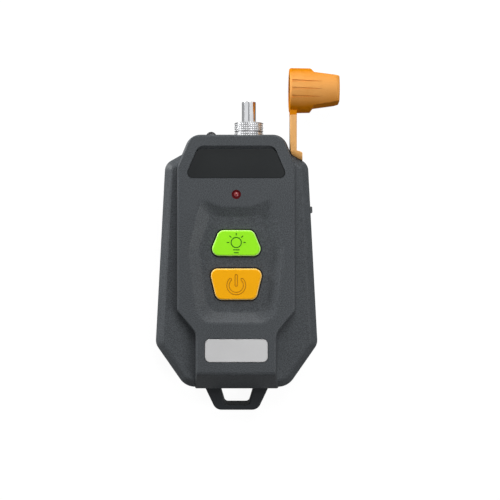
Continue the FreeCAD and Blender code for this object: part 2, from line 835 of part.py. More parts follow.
def rear_case():
    pegs = [upright(x, y, PEG_R, 0, BOARD_LOW_Z) for x, y in board_screw_places()]
    kept = [*bosses(0, SEAM_Z), *cradles(0, SEAM_Z), *pegs, *battery_ribs()]
    shell = rear_outside().cut(rear_inside().cut(Part.makeCompound(kept)))
    wells = []
    for x, y in screw_places():
        wells.append(upright(x, y, SCREW_HEAD_R + SCREW_GAP, -NUDGE, SCREW_SINK + SCREW_HEAD_H))
        wells.append(upright(x, y, SCREW_R + SCREW_GAP, 0, SEAM_Z + NUDGE))
    for x, y in board_screw_places():
        low = BOARD_LOW_Z - BOARD_SCREW_BITE - SCREW_GAP
        wells.append(upright(x, y, BOARD_SCREW_R + PILOT_GAP, low, BOARD_LOW_Z + NUDGE))
    tools = [
        ring(WALL / 2, WALL, SEAM_Z - LIP_H - 2 * LIP_GAP, SEAM_Z + NUDGE),
        barrel_room(),
        torch_hole(),
        strap_slot(),
        port_opening(),
        hinge_pins(SEAT_GAP),
        *wells,
    ]
    return shell.cut(tools).removeSplitter()


# ================================================================ plates and keys
def name_plate():
    low = THICKNESS - NAME_POCKET
    return prism(inset(name_outline(), PLATE_GAP), low, low + NAME_THICK)


def rating_label():
    low = THICKNESS - RATING_POCKET
    top = low + RATING_THICK
    label = prism(inset(rating_outline(), PLATE_GAP), low, top)
    return rounded(label, RATING_EDGE_R, lambda e: level(e, top))


def key(outline):
    """A key with a flange under the panel that keeps it from falling out."""
    top = DISH_Z + KEY_PROUD
    stem = prism(outline, KEY_BASE_Z, top)
    stem = rounded(stem, KEY_EDGE_R, lambda e: level(e, top))
    flange = prism(inset(outline, -KEY_FLANGE_OUT), KEY_BASE_Z, KEY_WALL_Z - PILOT_GAP)
    return fused(stem, flange)


def power_sign(line, low, high):
    """A ring that is open at the top, and a bar in the opening, with round ends."""
    half = line / 2
    angle = math.radians(SIGN_GAP_ANGLE)
    reach = 2 * SIGN_R
    side_x = reach * math.sin(angle)
    side_y = SIGN_Y + reach * math.cos(angle)
    circle = upright(0, SIGN_Y, SIGN_R + half, low, high)
    circle = circle.cut(upright(0, SIGN_Y, SIGN_R - half, low, high))
    circle = circle.cut(plan([(0, SIGN_Y), (side_x, side_y), (-side_x, side_y)], low, high))
    rounds = [
        (SIGN_R * math.sin(angle), SIGN_Y + SIGN_R * math.cos(angle)),
        (-SIGN_R * math.sin(angle), SIGN_Y + SIGN_R * math.cos(angle)),
        (0, SIGN_BAR_LOW),
        (0, SIGN_BAR_TOP),
    ]
    ends = [upright(x, y, half, low, high) for x, y in rounds]
    return fused(circle, *ends, box(-half, half, SIGN_BAR_LOW, SIGN_BAR_TOP, low, high))


def power_button():
    """The power key, with the outline of its sign cut into the top."""
    top = DISH_Z + KEY_PROUD
    low = top - SIGN_D
    groove = power_sign(SIGN_LINE, low, top + NUDGE)
    groove = groove.cut(power_sign(SIGN_LINE - 2 * SIGN_GROOVE, low, top + NUDGE))
    return key(power_outline()).cut(groove)


def switch(y):
    """A square board switch with a round well for its plunger and four feet."""
    half = SWITCH_SIZE / 2
    top = BOARD_TOP_Z + SWITCH_H
    tab_top = BOARD_TOP_Z + SWITCH_TAB_H
    body = box(-half, half, y - half, y + half, BOARD_TOP_Z, top)
    feet = []
    for x in (-half - SWITCH_TAB, half + SWITCH_TAB):
        for foot_y in (y - half / 2, y + half / 2):
            x0, x1 = x - SWITCH_TAB, x + SWITCH_TAB
            y0, y1 = foot_y - SWITCH_TAB, foot_y + SWITCH_TAB
            feet.append(box(x0, x1, y0, y1, BOARD_TOP_Z, tab_top))
    well_z = top - PLUNGER_DIP - KEY_TRAVEL - WELL_SPARE
    well = upright(0, y, PLUNGER_R + 2 * RUN_GAP, well_z, top + NUDGE)
    return fused(body, *feet).cut(well)


def plunger(y):
    low = BOARD_TOP_Z + SWITCH_H - PLUNGER_DIP
    return upright(0, y, PLUNGER_R, low, KEY_BASE_Z - PILOT_GAP)


# ================================================================ board
def circuit_board():
    outline = trapezoid(
        side_x(BOARD_TOP_Y) - WALL - BOARD_GAP,
        BOARD_TOP_Y,
        side_x(BOARD_LOW_Y) - WALL - BOARD_GAP,
        BOARD_LOW_Y,
        BOARD_CORNER,
        BOARD_CORNER,
    )
    board = prism(outline, BOARD_LOW_Z, BOARD_TOP_Z)
    holes = [
        upright(x, y, BOARD_SCREW_R + SCREW_GAP, 0, THICKNESS) for x, y in board_screw_places()
    ]
    return board.cut(holes)


def light(flange_r, body_r, length):
    """A round light's body: flange, barrel and dome. It starts at 0 and points along +Y."""
    return [
        (0, 0, 0),
        (flange_r, 0, LED_EDGE_R),
        (flange_r, LED_FLANGE_H, LED_EDGE_R),
        (body_r, LED_FLANGE_H, 0),
        (body_r, length, body_r),
        (0, length, 0),
    ]


def indicator_led():
    base = THICKNESS + INDICATOR_PROUD - INDICATOR_L
    body = turned(
        light(LED_FLANGE_R, INDICATOR_R, INDICATOR_L), 0, INDICATOR_Y, base, V(0, 0, 1)
    )
    leads = [
        upright(side * LEAD_PITCH / 2, INDICATOR_Y, LEAD_R, BOARD_TOP_Z, base + NUDGE / 2)
        for side in (-1, 1)
    ]
    return fused(body, *leads)


def torch_led():
    base = TOP_Y + TORCH_PROUD - TORCH_L
    body = turned(light(LED_FLANGE_R, TORCH_R, TORCH_L), TORCH_X, base)
    end_z = BOARD_TOP_Z + LEAD_R + PILOT_GAP
    far = BOARD_TOP_Y - LEAD_PITCH / 2
    leads = []
    for side in (-1, 1):
        x = TORCH_X + side * LEAD_PITCH / 2
        path = [
            V(x, base + NUDGE / 2, SEAM_Z),
            V(x, BOARD_TOP_Y + TORCH_BEND_Y, SEAM_Z),
            V(x, BOARD_TOP_Y + NUDGE, end_z),
            V(x, far, end_z),
        ]
        leads.append(wire_along(path, LEAD_R))
    return fused(body, *leads)


def wire_along(path, r):
    """A round wire through the points, with a ball at each bend."""
    parts = []
    for start, end in zip(path, path[1:]):
        parts.append(Part.makeCylinder(r, start.distanceToPoint(end), start, end - start))
    parts += [Part.makeSphere(r, point) for point in path[1:-1]]
    return fused(parts[0], *parts[1:])


def chip(y):
    """A small package with four bent leads on each of two sides."""
    low = BOARD_TOP_Z + CHIP_STAND
    half_l, half_w = CHIP_L / 2, CHIP_W / 2
    body = box(CHIP_X - half_l, CHIP_X + half_l, y - half_w, y + half_w, low, low + CHIP_H)
    knee_z = low + CHIP_LEAD_Z
    legs = []
    for side in (-1, 1):
        edge = y + side * half_w
        knee = edge + side * CHIP_LEAD_KNEE
        for i in range(CHIP_LEADS):
            x0 = CHIP_X + (i - (CHIP_LEADS - 1) / 2) * CHIP_PITCH - CHIP_LEAD_W / 2
            x1 = x0 + CHIP_LEAD_W
            y0, y1 = sorted((edge, edge + side * CHIP_LEAD_OUT))
            y2, y3 = sorted((knee, edge + side * CHIP_LEAD_OUT))
            legs.append(box(x0, x1, y0, y1, knee_z, knee_z + CHIP_LEAD_T))
            legs.append(box(x0, x1, y2, y3, BOARD_TOP_Z, knee_z + CHIP_LEAD_T))
    return fused(body, *legs)


def board_capacitors():
    """Identical chip capacitors in a row beside the switches."""
    solids = []
    for i in range(CAPACITORS):
        x = -CHIP_X - CAPACITOR_L / 2
        y = DRIVER_Y - i * CAPACITOR_PITCH - CAPACITOR_W / 2
        top = BOARD_TOP_Z + CAPACITOR_H
        solids.append(box(x, x + CAPACITOR_L, y, y + CAPACITOR_W, BOARD_TOP_Z, top))
    return Part.makeCompound(solids)


# ================================================================ battery
def battery():
    low = WALL + PAD_T
    half_t = BATTERY_T / 2
    section = [
        (-BATTERY_HALF_W, half_t, BATTERY_EDGE_R),
        (-BATTERY_HALF_W, -half_t, BATTERY_EDGE_R),
        (BATTERY_HALF_W, -half_t, BATTERY_EDGE_R),
        (BATTERY_HALF_W, half_t, BATTERY_EDGE_R),
    ]
    cell = prism(section, 0, BATTERY_TOP_Y - SEAL_L - BATTERY_LOW_Y)
    cell.rotate(V(0, 0, 0), V(1, 0, 0), QUARTER_TURN)
    cell.translate(V(0, BATTERY_TOP_Y - SEAL_L, low + half_t))
    seal = box(
        SEAL_IN - BATTERY_HALF_W,
        BATTERY_HALF_W - SEAL_IN,
        BATTERY_TOP_Y - SEAL_L - NUDGE,
        BATTERY_TOP_Y,
        low + SEAL_IN,
        low + BATTERY_T - SEAL_IN,
    )
    return fused(cell, seal)


def battery_pad():
    half_w = BATTERY_HALF_W - PAD_MARGIN
    low_y = BATTERY_LOW_Y + PAD_MARGIN
    top_y = BATTERY_TOP_Y - SEAL_L - PAD_MARGIN
    return box(-half_w, half_w, low_y, top_y, WALL, WALL + PAD_T)


def battery_lead(x):
    z = WALL + PAD_T + BATTERY_T / 2
    turn_y = BATTERY_TOP_Y + WIRE_OUT
    bend_y = turn_y - WIRE_BEND_R
    bend_z = z + WIRE_BEND_R
    slack = WIRE_BEND_R * math.sqrt(0.5)
    middle = V(x, bend_y + slack, bend_z - slack)
    path = Part.Wire(
        [
            Part.LineSegment(V(x, BATTERY_TOP_Y, z), V(x, bend_y, z)).toShape(),
            Part.Arc(V(x, bend_y, z), middle, V(x, turn_y, bend_z)).toShape(),
            Part.LineSegment(V(x, turn_y, bend_z), V(x, turn_y, BOARD_LOW_Z)).toShape(),
        ]
    )
    section = Part.Wire(Part.makeCircle(WIRE_R, V(x, BATTERY_TOP_Y, z), V(0, 1, 0)))
    return path.makePipeShell([section], True, False)


# ================================================================ laser barrel and connector
def laser_barrel():
    """The brass barrel: it holds the diode and the lens, and its nose takes the ferrule tube."""
    back = INNER_END_Y - BARREL_L
    outer = turned(
        sharp(
            (0, back), (BARREL_R, back), (BARREL_R, INNER_END_Y - RUN_GAP),
            (NOSE_R, INNER_END_Y - RUN_GAP), (NOSE_R, NOSE_END_Y), (0, NOSE_END_Y),
        )
    )
    tube_seat = TOP_Y - SLEEVE_DOWN
    stages = [
        (DIODE_R + PILOT_GAP, back - NUDGE, back + DIODE_FLANGE_T + PILOT_GAP),
        (DIODE_CAN_R + RUN_GAP, back, lens_place()),
        (LENS_R + PILOT_GAP, back, lens_place() + LENS_L + PILOT_GAP),
        (BEAM_R, back, TOP_Y),
        (TUBE_R + PILOT_GAP, tube_seat, NOSE_END_Y + NUDGE),
    ]
    return outer.cut([rod_y(CONNECTOR_X, SEAM_Z, r, y0, y1) for r, y0, y1 in stages])


def lens_place():
    return INNER_END_Y - BARREL_L + DIODE_FLANGE_T + DIODE_CAN_L + LENS_AT


def focus_lens():
    y = lens_place()
    end = y + LENS_L
    return turned([(0, y, 0), (LENS_R, y, LENS_EDGE_R), (LENS_R, end, LENS_CURVE_R), (0, end, 0)])


def laser_diode():
    y = INNER_END_Y - BARREL_L
    can = turned(
        sharp(
            (0, y), (DIODE_R, y), (DIODE_R, y + DIODE_FLANGE_T), (DIODE_CAN_R, y + DIODE_FLANGE_T),
            (DIODE_CAN_R, y + DIODE_FLANGE_T + DIODE_CAN_L), (0, y + DIODE_FLANGE_T + DIODE_CAN_L),
        )
    )
    spread = BOARD_T / 2 + LEAD_R + PILOT_GAP
    pins = [
        rod_y(CONNECTOR_X + dx * spread, SEAM_Z + dz * spread, LEAD_R, y - length, y + NUDGE / 2)
        for dx, dz, length in ((0, 1, DIODE_PIN_L), (0, -1, DIODE_PIN_L), (1, 0, DIODE_PIN_L / 2))
    ]
    return fused(can, *pins)


def ferrule_tube():
    low = TOP_Y - SLEEVE_DOWN
    high = TOP_Y + TUBE_UP
    bore = SLEEVE_R + PILOT_GAP
    return turned(
        [
            (bore, low, 0),
            (TUBE_R, low, 0),
            (TUBE_R, high, TUBE_EDGE_R),
            (TUBE_MOUTH_R, high, TUBE_MOUTH_EDGE_R),
            (TUBE_MOUTH_R, high - TUBE_LIP, 0),
            (bore, high - TUBE_LIP, 0),
        ]
    )


def ceramic_sleeve():
    """A split sleeve that grips the ferrule."""
    low = TOP_Y - SLEEVE_DOWN + PILOT_GAP
    high = TOP_Y + TUBE_UP - TUBE_LIP - PILOT_GAP
    sleeve = turned(sharp((FERRULE_R, low), (SLEEVE_R, low), (SLEEVE_R, high), (FERRULE_R, high)))
    half = SLEEVE_SLOT / 2
    x = CONNECTOR_X
    return sleeve.cut(box(x - half, x + half, low - NUDGE, high + NUDGE, 0, SEAM_Z))


def connector_collar():
    """The ring that clamps the tube. Its thread is left out."""
    low = TOP_Y - COLLAR_SINK + PILOT_GAP
    high = TOP_Y + COLLAR_H
    inner = NOSE_R + PILOT_GAP
    ceiling = high - COLLAR_LIP
    groove_low = TOP_Y + COLLAR_GROOVE_Y
    groove_top = groove_low + COLLAR_GROOVE_W
    groove_r = COLLAR_R - COLLAR_GROOVE_D
    return turned(
        sharp(
            (inner, low),
            (COLLAR_R - COLLAR_EDGE, low),
            (COLLAR_R, low + COLLAR_EDGE),
            (COLLAR_R, groove_low),
            (groove_r, groove_low),
            (groove_r, groove_top),
            (COLLAR_R, groove_top),
            (COLLAR_R, high - COLLAR_EDGE),
            (COLLAR_R - COLLAR_EDGE, high),
            (TUBE_R + RUN_GAP, high),
            (TUBE_R + RUN_GAP, ceiling),
            (inner, ceiling),
        )
    )


# ================================================================ charging socket and its cover
def usb_socket():
    low = BOARD_LOW_Z - PORT_H
    high = BOARD_LOW_Z - PILOT_GAP
    back = -PORT_SET_BACK - PORT_L
    half = PORT_W / 2
    shell = box(back, -PORT_SET_BACK, -half, half, low, high)
    thin = PORT_SHELL
    inner = box(back + thin, 0, thin - half, half - thin, low + thin, high - thin)
    return at_port(shell.cut(inner))


def usb_tongue():
    back = -PORT_SET_BACK - PORT_L + PORT_SHELL + PILOT_GAP
    front = -PORT_SET_BACK - COVER_PLUG_L - TONGUE_END_GAP
    low = BOARD_LOW_Z - (PORT_H + TONGUE_T) / 2
    half = PORT_W / 2 - TONGUE_SIDE_GAP
    return at_port(box(back, front, -half, half, low, low + TONGUE_T))


def cover_plug():
    low = BOARD_LOW_Z - PORT_H + PORT_SHELL + COVER_PLUG_GAP
    high = BOARD_LOW_Z - PORT_SHELL - COVER_PLUG_GAP
    half = PORT_W / 2 - PORT_SHELL - COVER_PLUG_GAP
    return box(-COVER_T - COVER_PLUG_L, -COVER_T / 2, -half, half, low, high)


def cover_tab():
    tab_y = COVER_TOP - COVER_TAB_AT
    low = COVER_LOW_Z + COVER_TAB_IN
    high = SEAM_Z - COVER_GAP - COVER_TAB_IN
    tab = box(-COVER_T / 2, COVER_TAB_OUT, tab_y - COVER_TAB_W, tab_y, low, high)
    return rounded(tab, COVER_TAB_R, lambda e: e.BoundBox.XMin > COVER_TAB_OUT - SLACK)


def port_cover():
    """The hinged cover: a plate with a rounded hinge end, a plug, a pull tab and two pivots."""
    top_z = SEAM_Z - COVER_GAP
    knuckle_y = KNUCKLE_R - COVER_HINGE
    plate = box(-COVER_T, 0, knuckle_y, COVER_TOP, COVER_LOW_Z, top_z)
    plate = rounded(plate, COVER_EDGE_R, lambda e: level_y(e, COVER_TOP))
    knuckle = upright(-COVER_T / 2, knuckle_y, KNUCKLE_R, COVER_LOW_Z, top_z)
    return fused(at_port(fused(plate, knuckle, cover_plug(), cover_tab())), hinge_pins(0))


# ================================================================ dust cap and strap
def bend_line():
    """Where the strap bends: turning the cap a quarter turn about it closes the connector."""
    rest_y = TOP_Y + CAP_SEAT_GAP
    x = STRAP_X + BEND_IN
    return V(x, rest_y + x - (STRAP_X - RIM_OVER), 0)


def cap_on_connector():
    """The cap in its closed place, its axis along +Y on the connector's axis."""
    mouth = TOP_Y + CAP_SEAT_GAP
    end = mouth + CAP_L
    outside = [
        (0, mouth, 0),
        (CAP_R, mouth, CAP_RIM_R),
        (CAP_R - CAP_TAPER, end, CAP_END_R),
        (0, end, 0),
    ]
    body = turned(outside).common(grip(mouth))
    return body.cut([cap_bore(mouth), *cap_grooves(mouth)])


def cap_bore(mouth):
    """The room for the collar and, beyond it, for the ferrule tube."""
    collar_r = COLLAR_R + CAP_BORE_GAP
    tip = mouth + CAP_TIP_L
    return turned(
        sharp(
            (0, mouth - NUDGE),
            (collar_r, mouth - NUDGE),
            (collar_r, mouth + CAP_BORE_L),
            (CAP_TIP_R, tip),
            (CAP_TIP_R - CAP_TIP_END, tip + CAP_TIP_END),
            (0, tip + CAP_TIP_END),
        )
    )


def grip(mouth):
    """What the cap keeps: all of its head, and a six-sided grip that tapers to its end."""
    clear = CAP_R + GRIP_CLEAR
    sections = [
        (GRIP_AT, clear, clear),
        (GRIP_AT + GRIP_STEP, GRIP_NEAR, GRIP_FRONT_NEAR),
        (CAP_L - CAP_END_R, GRIP_FAR, GRIP_FRONT_FAR),
        (CAP_L + PILOT_GAP, GRIP_TIP, GRIP_FRONT_TIP),
    ]
    wires = [grip_section(mouth + at, middle, front) for at, middle, front in sections]
    head = rod_y(CONNECTOR_X, SEAM_Z, 2 * CAP_R, mouth, mouth + GRIP_AT)
    return Part.makeLoft(wires, True, True).fuse(head)


def grip_section(y, middle, front):
    """A six-sided section across the cap: half width middle at the axis, front at the front."""
    deep = CAP_R + GRIP_CLEAR
    corners = [
        (middle, 0), (front, deep), (-front, deep), (-middle, 0), (-front, -deep), (front, -deep)
    ]
    points = [V(CONNECTOR_X + dx, y, SEAM_Z + dz) for dx, dz in corners]
    return Part.makePolygon([*points, points[0]])


def cap_grooves(mouth):
    tools = []
    for i in range(GROOVES):
        angle = (i - (GROOVES - 1) / 2) * GROOVE_ANGLE + GROOVE_TURN
        corners = [(-GROOVE_W / 2, 0), (GROOVE_W / 2, 0), (0, GROOVE_L)]
        tool = plan(corners, CAP_R - GROOVE_D, CAP_R + NUDGE)
        tool.rotate(V(0, 0, 0), V(0, 1, 0), angle)
        tool.translate(V(CONNECTOR_X, mouth + CAP_RIM_R, SEAM_Z))
        tools.append(tool)
    return tools


def dust_cap():
    cap = cap_on_connector()
    centre = bend_line()
    cap.rotate(centre, V(0, 0, 1), -QUARTER_TURN)
    axis_y = centre.y + centre.x - CONNECTOR_X
    edge_y = axis_y - CAP_R
    half = STRAP_W / 2
    right = STRAP_X + STRAP_T
    lug = box(STRAP_X, right, edge_y - LUG_L, edge_y + CAP_RIM_R, SEAM_Z - half, SEAM_Z + half)
    room = Part.makeCylinder(CAP_R - CAP_RIM_R, CAP_L, V(0, axis_y, SEAM_Z), V(1, 0, 0))
    return fused(cap, lug.cut(room))


def cap_tether():
    """The strap, from its foot and anchor in the shoulder to just below the cap's stub."""
    centre = bend_line()
    top = centre.y + centre.x - CONNECTOR_X - CAP_R - LUG_L - STRAP_TOP_GAP
    low_z = SEAM_Z - STRAP_W / 2
    high_z = SEAM_Z + STRAP_W / 2
    right = STRAP_X + STRAP_T
    foot = right + FOOT_STEP
    corners = [
        (STRAP_X, top),
        (STRAP_X, SHOULDER_Y),
        (foot, SHOULDER_Y),
        (foot, FOOT_TOP_Y - FOOT_EDGE_R),
        (foot - FOOT_EDGE_R, FOOT_TOP_Y),
        (right, FOOT_TOP_Y + FOOT_EDGE_R),
        (right, top),
    ]
    strap = plan(corners, low_z, high_z)
    strap = rounded(strap, STRAP_EDGE_R, lambda e: level(e, low_z) or level(e, high_z))
    strap = strap.cut(prism(inset(body_outline(), -SEAT_GAP), 0, THICKNESS))
    return fused(strap, *strap_anchor())


def strap_anchor():
    """The neck that passes through the shells' wall, and the bar behind it."""
    deep = -WALL - ANCHOR_GAP
    neck = box(
        NECK_AT - NECK_HALF,
        NECK_AT + NECK_HALF,
        deep - ANCHOR_T / 2,
        2 * SEAT_GAP,
        NECK_LOW_Z,
        NECK_TOP_Z,
    )
    anchor = box(
        NECK_AT - ANCHOR_HALF,
        NECK_AT + ANCHOR_HALF,
        deep - ANCHOR_T,
        deep,
        ANCHOR_LOW_Z,
        ANCHOR_TOP_Z,
    )
    return [on_shoulder(neck), on_shoulder(anchor)]


# ================================================================ screws
def screw(x, y, head_z, head_h, head_r, shank_r, length, way):
    """A socket-head screw. way is +1 when it points up and -1 when it points down."""
    neck_z = head_z + way * head_h
    half_z = head_z + way * head_h / 2
    head = upright(x, y, head_r, *sorted((head_z, neck_z)))
    shank = upright(x, y, shank_r, *sorted((half_z, neck_z + way * length)))
    size = head_r * SOCKET_SHARE
    corners = []
    for i in range(SOCKET_SIDES):
        angle = 2 * math.pi * i / SOCKET_SIDES
        corners.append((x + size * math.cos(angle), y + size * math.sin(angle)))
    socket = plan(corners, *sorted((head_z - way * NUDGE, half_z)))
    return fused(head, shank).cut(socket)


def case_screws():
    length = SEAM_Z + SCREW_BITE - SCREW_SINK - SCREW_HEAD_H
    return Part.makeCompound(
        [
            screw(x, y, SCREW_SINK, SCREW_HEAD_H - PILOT_GAP, SCREW_HEAD_R, SCREW_R, length, 1)
            for x, y in screw_places()
        ]
    )


def board_screws():
    head_z = BOARD_TOP_Z + BOARD_SCREW_HEAD_H
    length = BOARD_T + BOARD_SCREW_BITE
    return Part.makeCompound(
        [
            screw(x, y, head_z, BOARD_SCREW_HEAD_H, BOARD_SCREW_HEAD_R, BOARD_SCREW_R, length, -1)
            for x, y in board_screw_places()
        ]
    )


# ================================================================ output
def nodes():
    lamp_y = (LAMP_TOP_Y + LAMP_LOW_Y) / 2
    power_y = (POWER_TOP_Y + POWER_LOW_Y) / 2
    return {
        "front_case": front_case(),
        "rear_case": rear_case(),
        "name_plate": name_plate(),
        "rating_label": rating_label(),
        "lamp_button": key(lamp_outline()),
        "power_button": power_button(),
        "lamp_switch": switch(lamp_y),
        "power_switch": switch(power_y),
        "lamp_plunger": plunger(lamp_y),
        "power_plunger": plunger(power_y),
        "circuit_board": circuit_board(),
        "indicator_led": indicator_led(),
        "torch_led": torch_led(),
        "driver_chip": chip(DRIVER_Y),
        "charger_chip": chip(CHARGER_Y),
        "board_capacitors": board_capacitors(),
        "battery": battery(),
        "battery_pad": battery_pad(),
        "battery_lead_plus": battery_lead(WIRE_X),
        "battery_lead_minus": battery_lead(-WIRE_X),
        "laser_barrel": laser_barrel(),
        "laser_diode": laser_diode(),
        "focus_lens": focus_lens(),
        "ferrule_tube": ferrule_tube(),
        "ceramic_sleeve": ceramic_sleeve(),
        "connector_collar": connector_collar(),
        "usb_socket": usb_socket(),
        "usb_tongue": usb_tongue(),
        "port_cover": port_cover(),
        "dust_cap": dust_cap(),
        "cap_tether": cap_tether(),
        "case_screws": case_screws(),
        "board_screws": board_screws(),
    }


os.makedirs("parts", exist_ok=True)
for name, shape in nodes().items():
    shape.exportStep("parts/" + name + ".step")
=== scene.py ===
import math

import bmesh
import bpy
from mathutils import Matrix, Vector

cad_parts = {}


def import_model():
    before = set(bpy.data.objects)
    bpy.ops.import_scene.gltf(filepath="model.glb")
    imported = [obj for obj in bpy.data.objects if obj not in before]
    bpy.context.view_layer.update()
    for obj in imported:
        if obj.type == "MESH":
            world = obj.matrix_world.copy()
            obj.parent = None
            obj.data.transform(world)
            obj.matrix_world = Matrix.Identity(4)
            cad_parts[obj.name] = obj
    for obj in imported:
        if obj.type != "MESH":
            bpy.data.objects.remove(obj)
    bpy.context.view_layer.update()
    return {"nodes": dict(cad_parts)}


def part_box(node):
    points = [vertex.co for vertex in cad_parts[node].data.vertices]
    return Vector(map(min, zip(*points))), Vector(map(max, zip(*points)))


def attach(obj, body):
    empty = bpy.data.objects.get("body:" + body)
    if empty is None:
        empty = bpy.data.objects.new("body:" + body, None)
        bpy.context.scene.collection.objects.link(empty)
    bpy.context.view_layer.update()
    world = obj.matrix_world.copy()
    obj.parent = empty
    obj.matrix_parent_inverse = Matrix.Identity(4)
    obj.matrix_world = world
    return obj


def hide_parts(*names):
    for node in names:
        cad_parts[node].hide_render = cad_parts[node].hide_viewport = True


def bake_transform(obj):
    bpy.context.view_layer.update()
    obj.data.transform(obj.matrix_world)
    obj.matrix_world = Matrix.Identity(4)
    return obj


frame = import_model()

NODES = frame["nodes"]
MM = 0.001

# ---------------------------------------------------------------- the set
PLANE_Z = 8.5 * MM  # the shells' seam, level with the connector's axis
AIM = Vector((3.66 * MM, 3.3 * MM, PLANE_Z))
CAMERA_UP = 260 * MM
CAMERA_NEAR = 10 * MM
VIEW_WIDTH = 137.5 * MM  # what the camera's frame spans at the seam
SENSOR = 36.0
LAMPS_AWAY = 450 * MM
FLOOR_REACH = 3000 * MM  # from the middle to the floor's far edge
FLOOR_GAP = 0.03 * MM
FLOOR_TUCK = 0.4 * MM  # how far the edge of its hole lies in under the rear case
FLOOR_GLOW = 0.95  # seen by the camera, and the lamps make up the rest of its white
FLOOR_MIRRORED = 0.3  # the same, as gloss mirrors it
FLOOR_SHADE = 0.10  # how much lamplight it shows, and so how dark a shadow on it is
FLOOR_BOUNCE = 0.15  # how much lamplight it sends up to the object
SKY_FILL = 0.05  # what the sky adds to the lamps
ROOM_LOW = 0.33  # how bright the room is level with the floor, as gloss mirrors it
ROOM_RISE = 0.45  # the sine of the height above which it's white
ROOM_TAIL = 0.75  # how much of that is left at the lanyard loop's end of the room
ROOM_TAIL_Y = -0.6  # it falls off to that between the directions' Y of 0 and this one
ROOM_OVERHEAD = 0.15  # straight overhead, where gloss mirrors the camera's rig
ROOM_PATCH = (0.97, 0.985)  # the sines of the heights between which that starts

# ---------------------------------------------------------------- the collar
COLLAR_BORE = 2.05 * MM
COLLAR_RIM = 0.2 * MM  # how high the lip at the collar's foot is
COLLAR_LIP = 0.3 * MM  # the same, at its head
LOWER_BAND = 1.28 * MM  # from the collar's foot to the groove between its knurled bands
GROOVE_WIDTH = 0.3 * MM
GROOVE_DEPTH = 0.3 * MM
COLLAR_STEPS = 108
KNURL_STEP = 0.5 * MM
KNURL_HEIGHT = 0.2 * MM
KNURL_SUNK = 0.02 * MM  # how far the studs go into the collar's core
KNURL_GAP = 0.14 * MM
KNURL_COLUMNS = 40
KNURL_TOP = 0.75  # a stud's width at its top, as a share of that at its foot

# ---------------------------------------------------------------- the strap
STRAP_FREE_Y = 30.6 * MM  # above its foot the strap bends
STRAP_SINK = 0.35 * MM  # how far its top end goes into the cap's stub
STRAP_SLICES = 40
STRAP_MERGE = 0.001 * MM
STRAP_FLAT = 0.001  # faces that meet at fewer radians than this count as one
STRAP_CREASE = 35

# ---------------------------------------------------------------- signs, painted shade and lights
LAMP_SIGN_Y = 5.3 * MM
LAMP_SIGN_SIZES = {
    "Ring radius": 1.36 * MM,
    "Line": 0.27 * MM,
    "Thickness": 0.04 * MM,
    "Rays": 5,
    "Ray middle": 2.2 * MM,
    "Ray length": 0.66 * MM,
    "Dashes": 2,
    "Dash length": 1.7 * MM,
    "Dash shrink": 0.25,  # how much each is shorter than the last, as a share of the first
    "Dash drop": 1.95 * MM,
    "Dash step": 0.77 * MM,
}
POWER_SIGN_Y = -6.1 * MM
POWER_SIGN_R = 2.2 * MM
POWER_SIGN_GAP = 45  # degrees from the top of the ring to each of its ends
POWER_SIGN_BAR = (-6.05 * MM, -3.55 * MM)  # the Y of the bar's two ends
POWER_SIGN_REACH = 0.315 * MM  # from the middle of its stroke to the line round it
POWER_SIGN_LINE = 0.17 * MM
POWER_SIGN_DEEP = 0.2 * MM
POWER_SIGN_SUNK = 0.04 * MM
KEY_BODY_Z = 15.0 * MM  # what is higher than this on a key is its body, over its flange
KEY_EDGE = (16.5, 16.86)  # mm, the heights between which a key's top edge is round, and painted with a highlight
# A black band down in the gap round each key is painted shade.
GAP_SHADE_WIDTH = 0.32 * MM
GAP_SHADE_CLEARANCE = 0.03 * MM
GAP_SHADE_LOW = 15.2 * MM
GAP_SHADE_TOP = 15.84 * MM
LED_CENTRE = (0.0, 18.1 * MM, 0.0)
LED_RADIUS = 1.1 * MM
LED_RING = (0.88 * MM, 1.24 * MM)  # the inner and outer radius of its rim
LED_RING_Z = (16.5 * MM, 16.86 * MM)

# ---------------------------------------------------------------- meshes
ROUND_STEPS = 48  # in a small circle
STROKE_END_STEPS = 8  # in the half circle round a stroke's end
CREASE = 30  # degrees between faces, beyond which their edge is sharp
CORNER_DIGITS = 6  # an outline's corners are rounded to a thousandth of a millimetre


# ================================================================ small helpers
def link_object(obj):
    bpy.context.scene.collection.objects.link(obj)
    return obj


def mesh_object(name, bm, material, crease=CREASE):
    """A mesh object at the origin from a bmesh, which it frees. With no crease it stays flat."""
    mesh = bpy.data.meshes.new(name)
    bm.to_mesh(mesh)
    bm.free()
    mesh.materials.append(material)
    if crease is not None:
        mesh.shade_smooth()
        mesh.set_sharp_from_angle(angle=math.radians(crease))
    return link_object(bpy.data.objects.new(name, mesh))


def bridge(bm, rows):
    """A closed skin over closed rows of vertices, from each to the next and back to the first."""
    for row, following in zip(rows, rows[1:] + rows[:1]):
        for j in range(len(row)):
            k = (j + 1) % len(row)
            bm.faces.new((row[j], row[k], following[k], following[j]))
    bmesh.ops.recalc_face_normals(bm, faces=bm.faces)


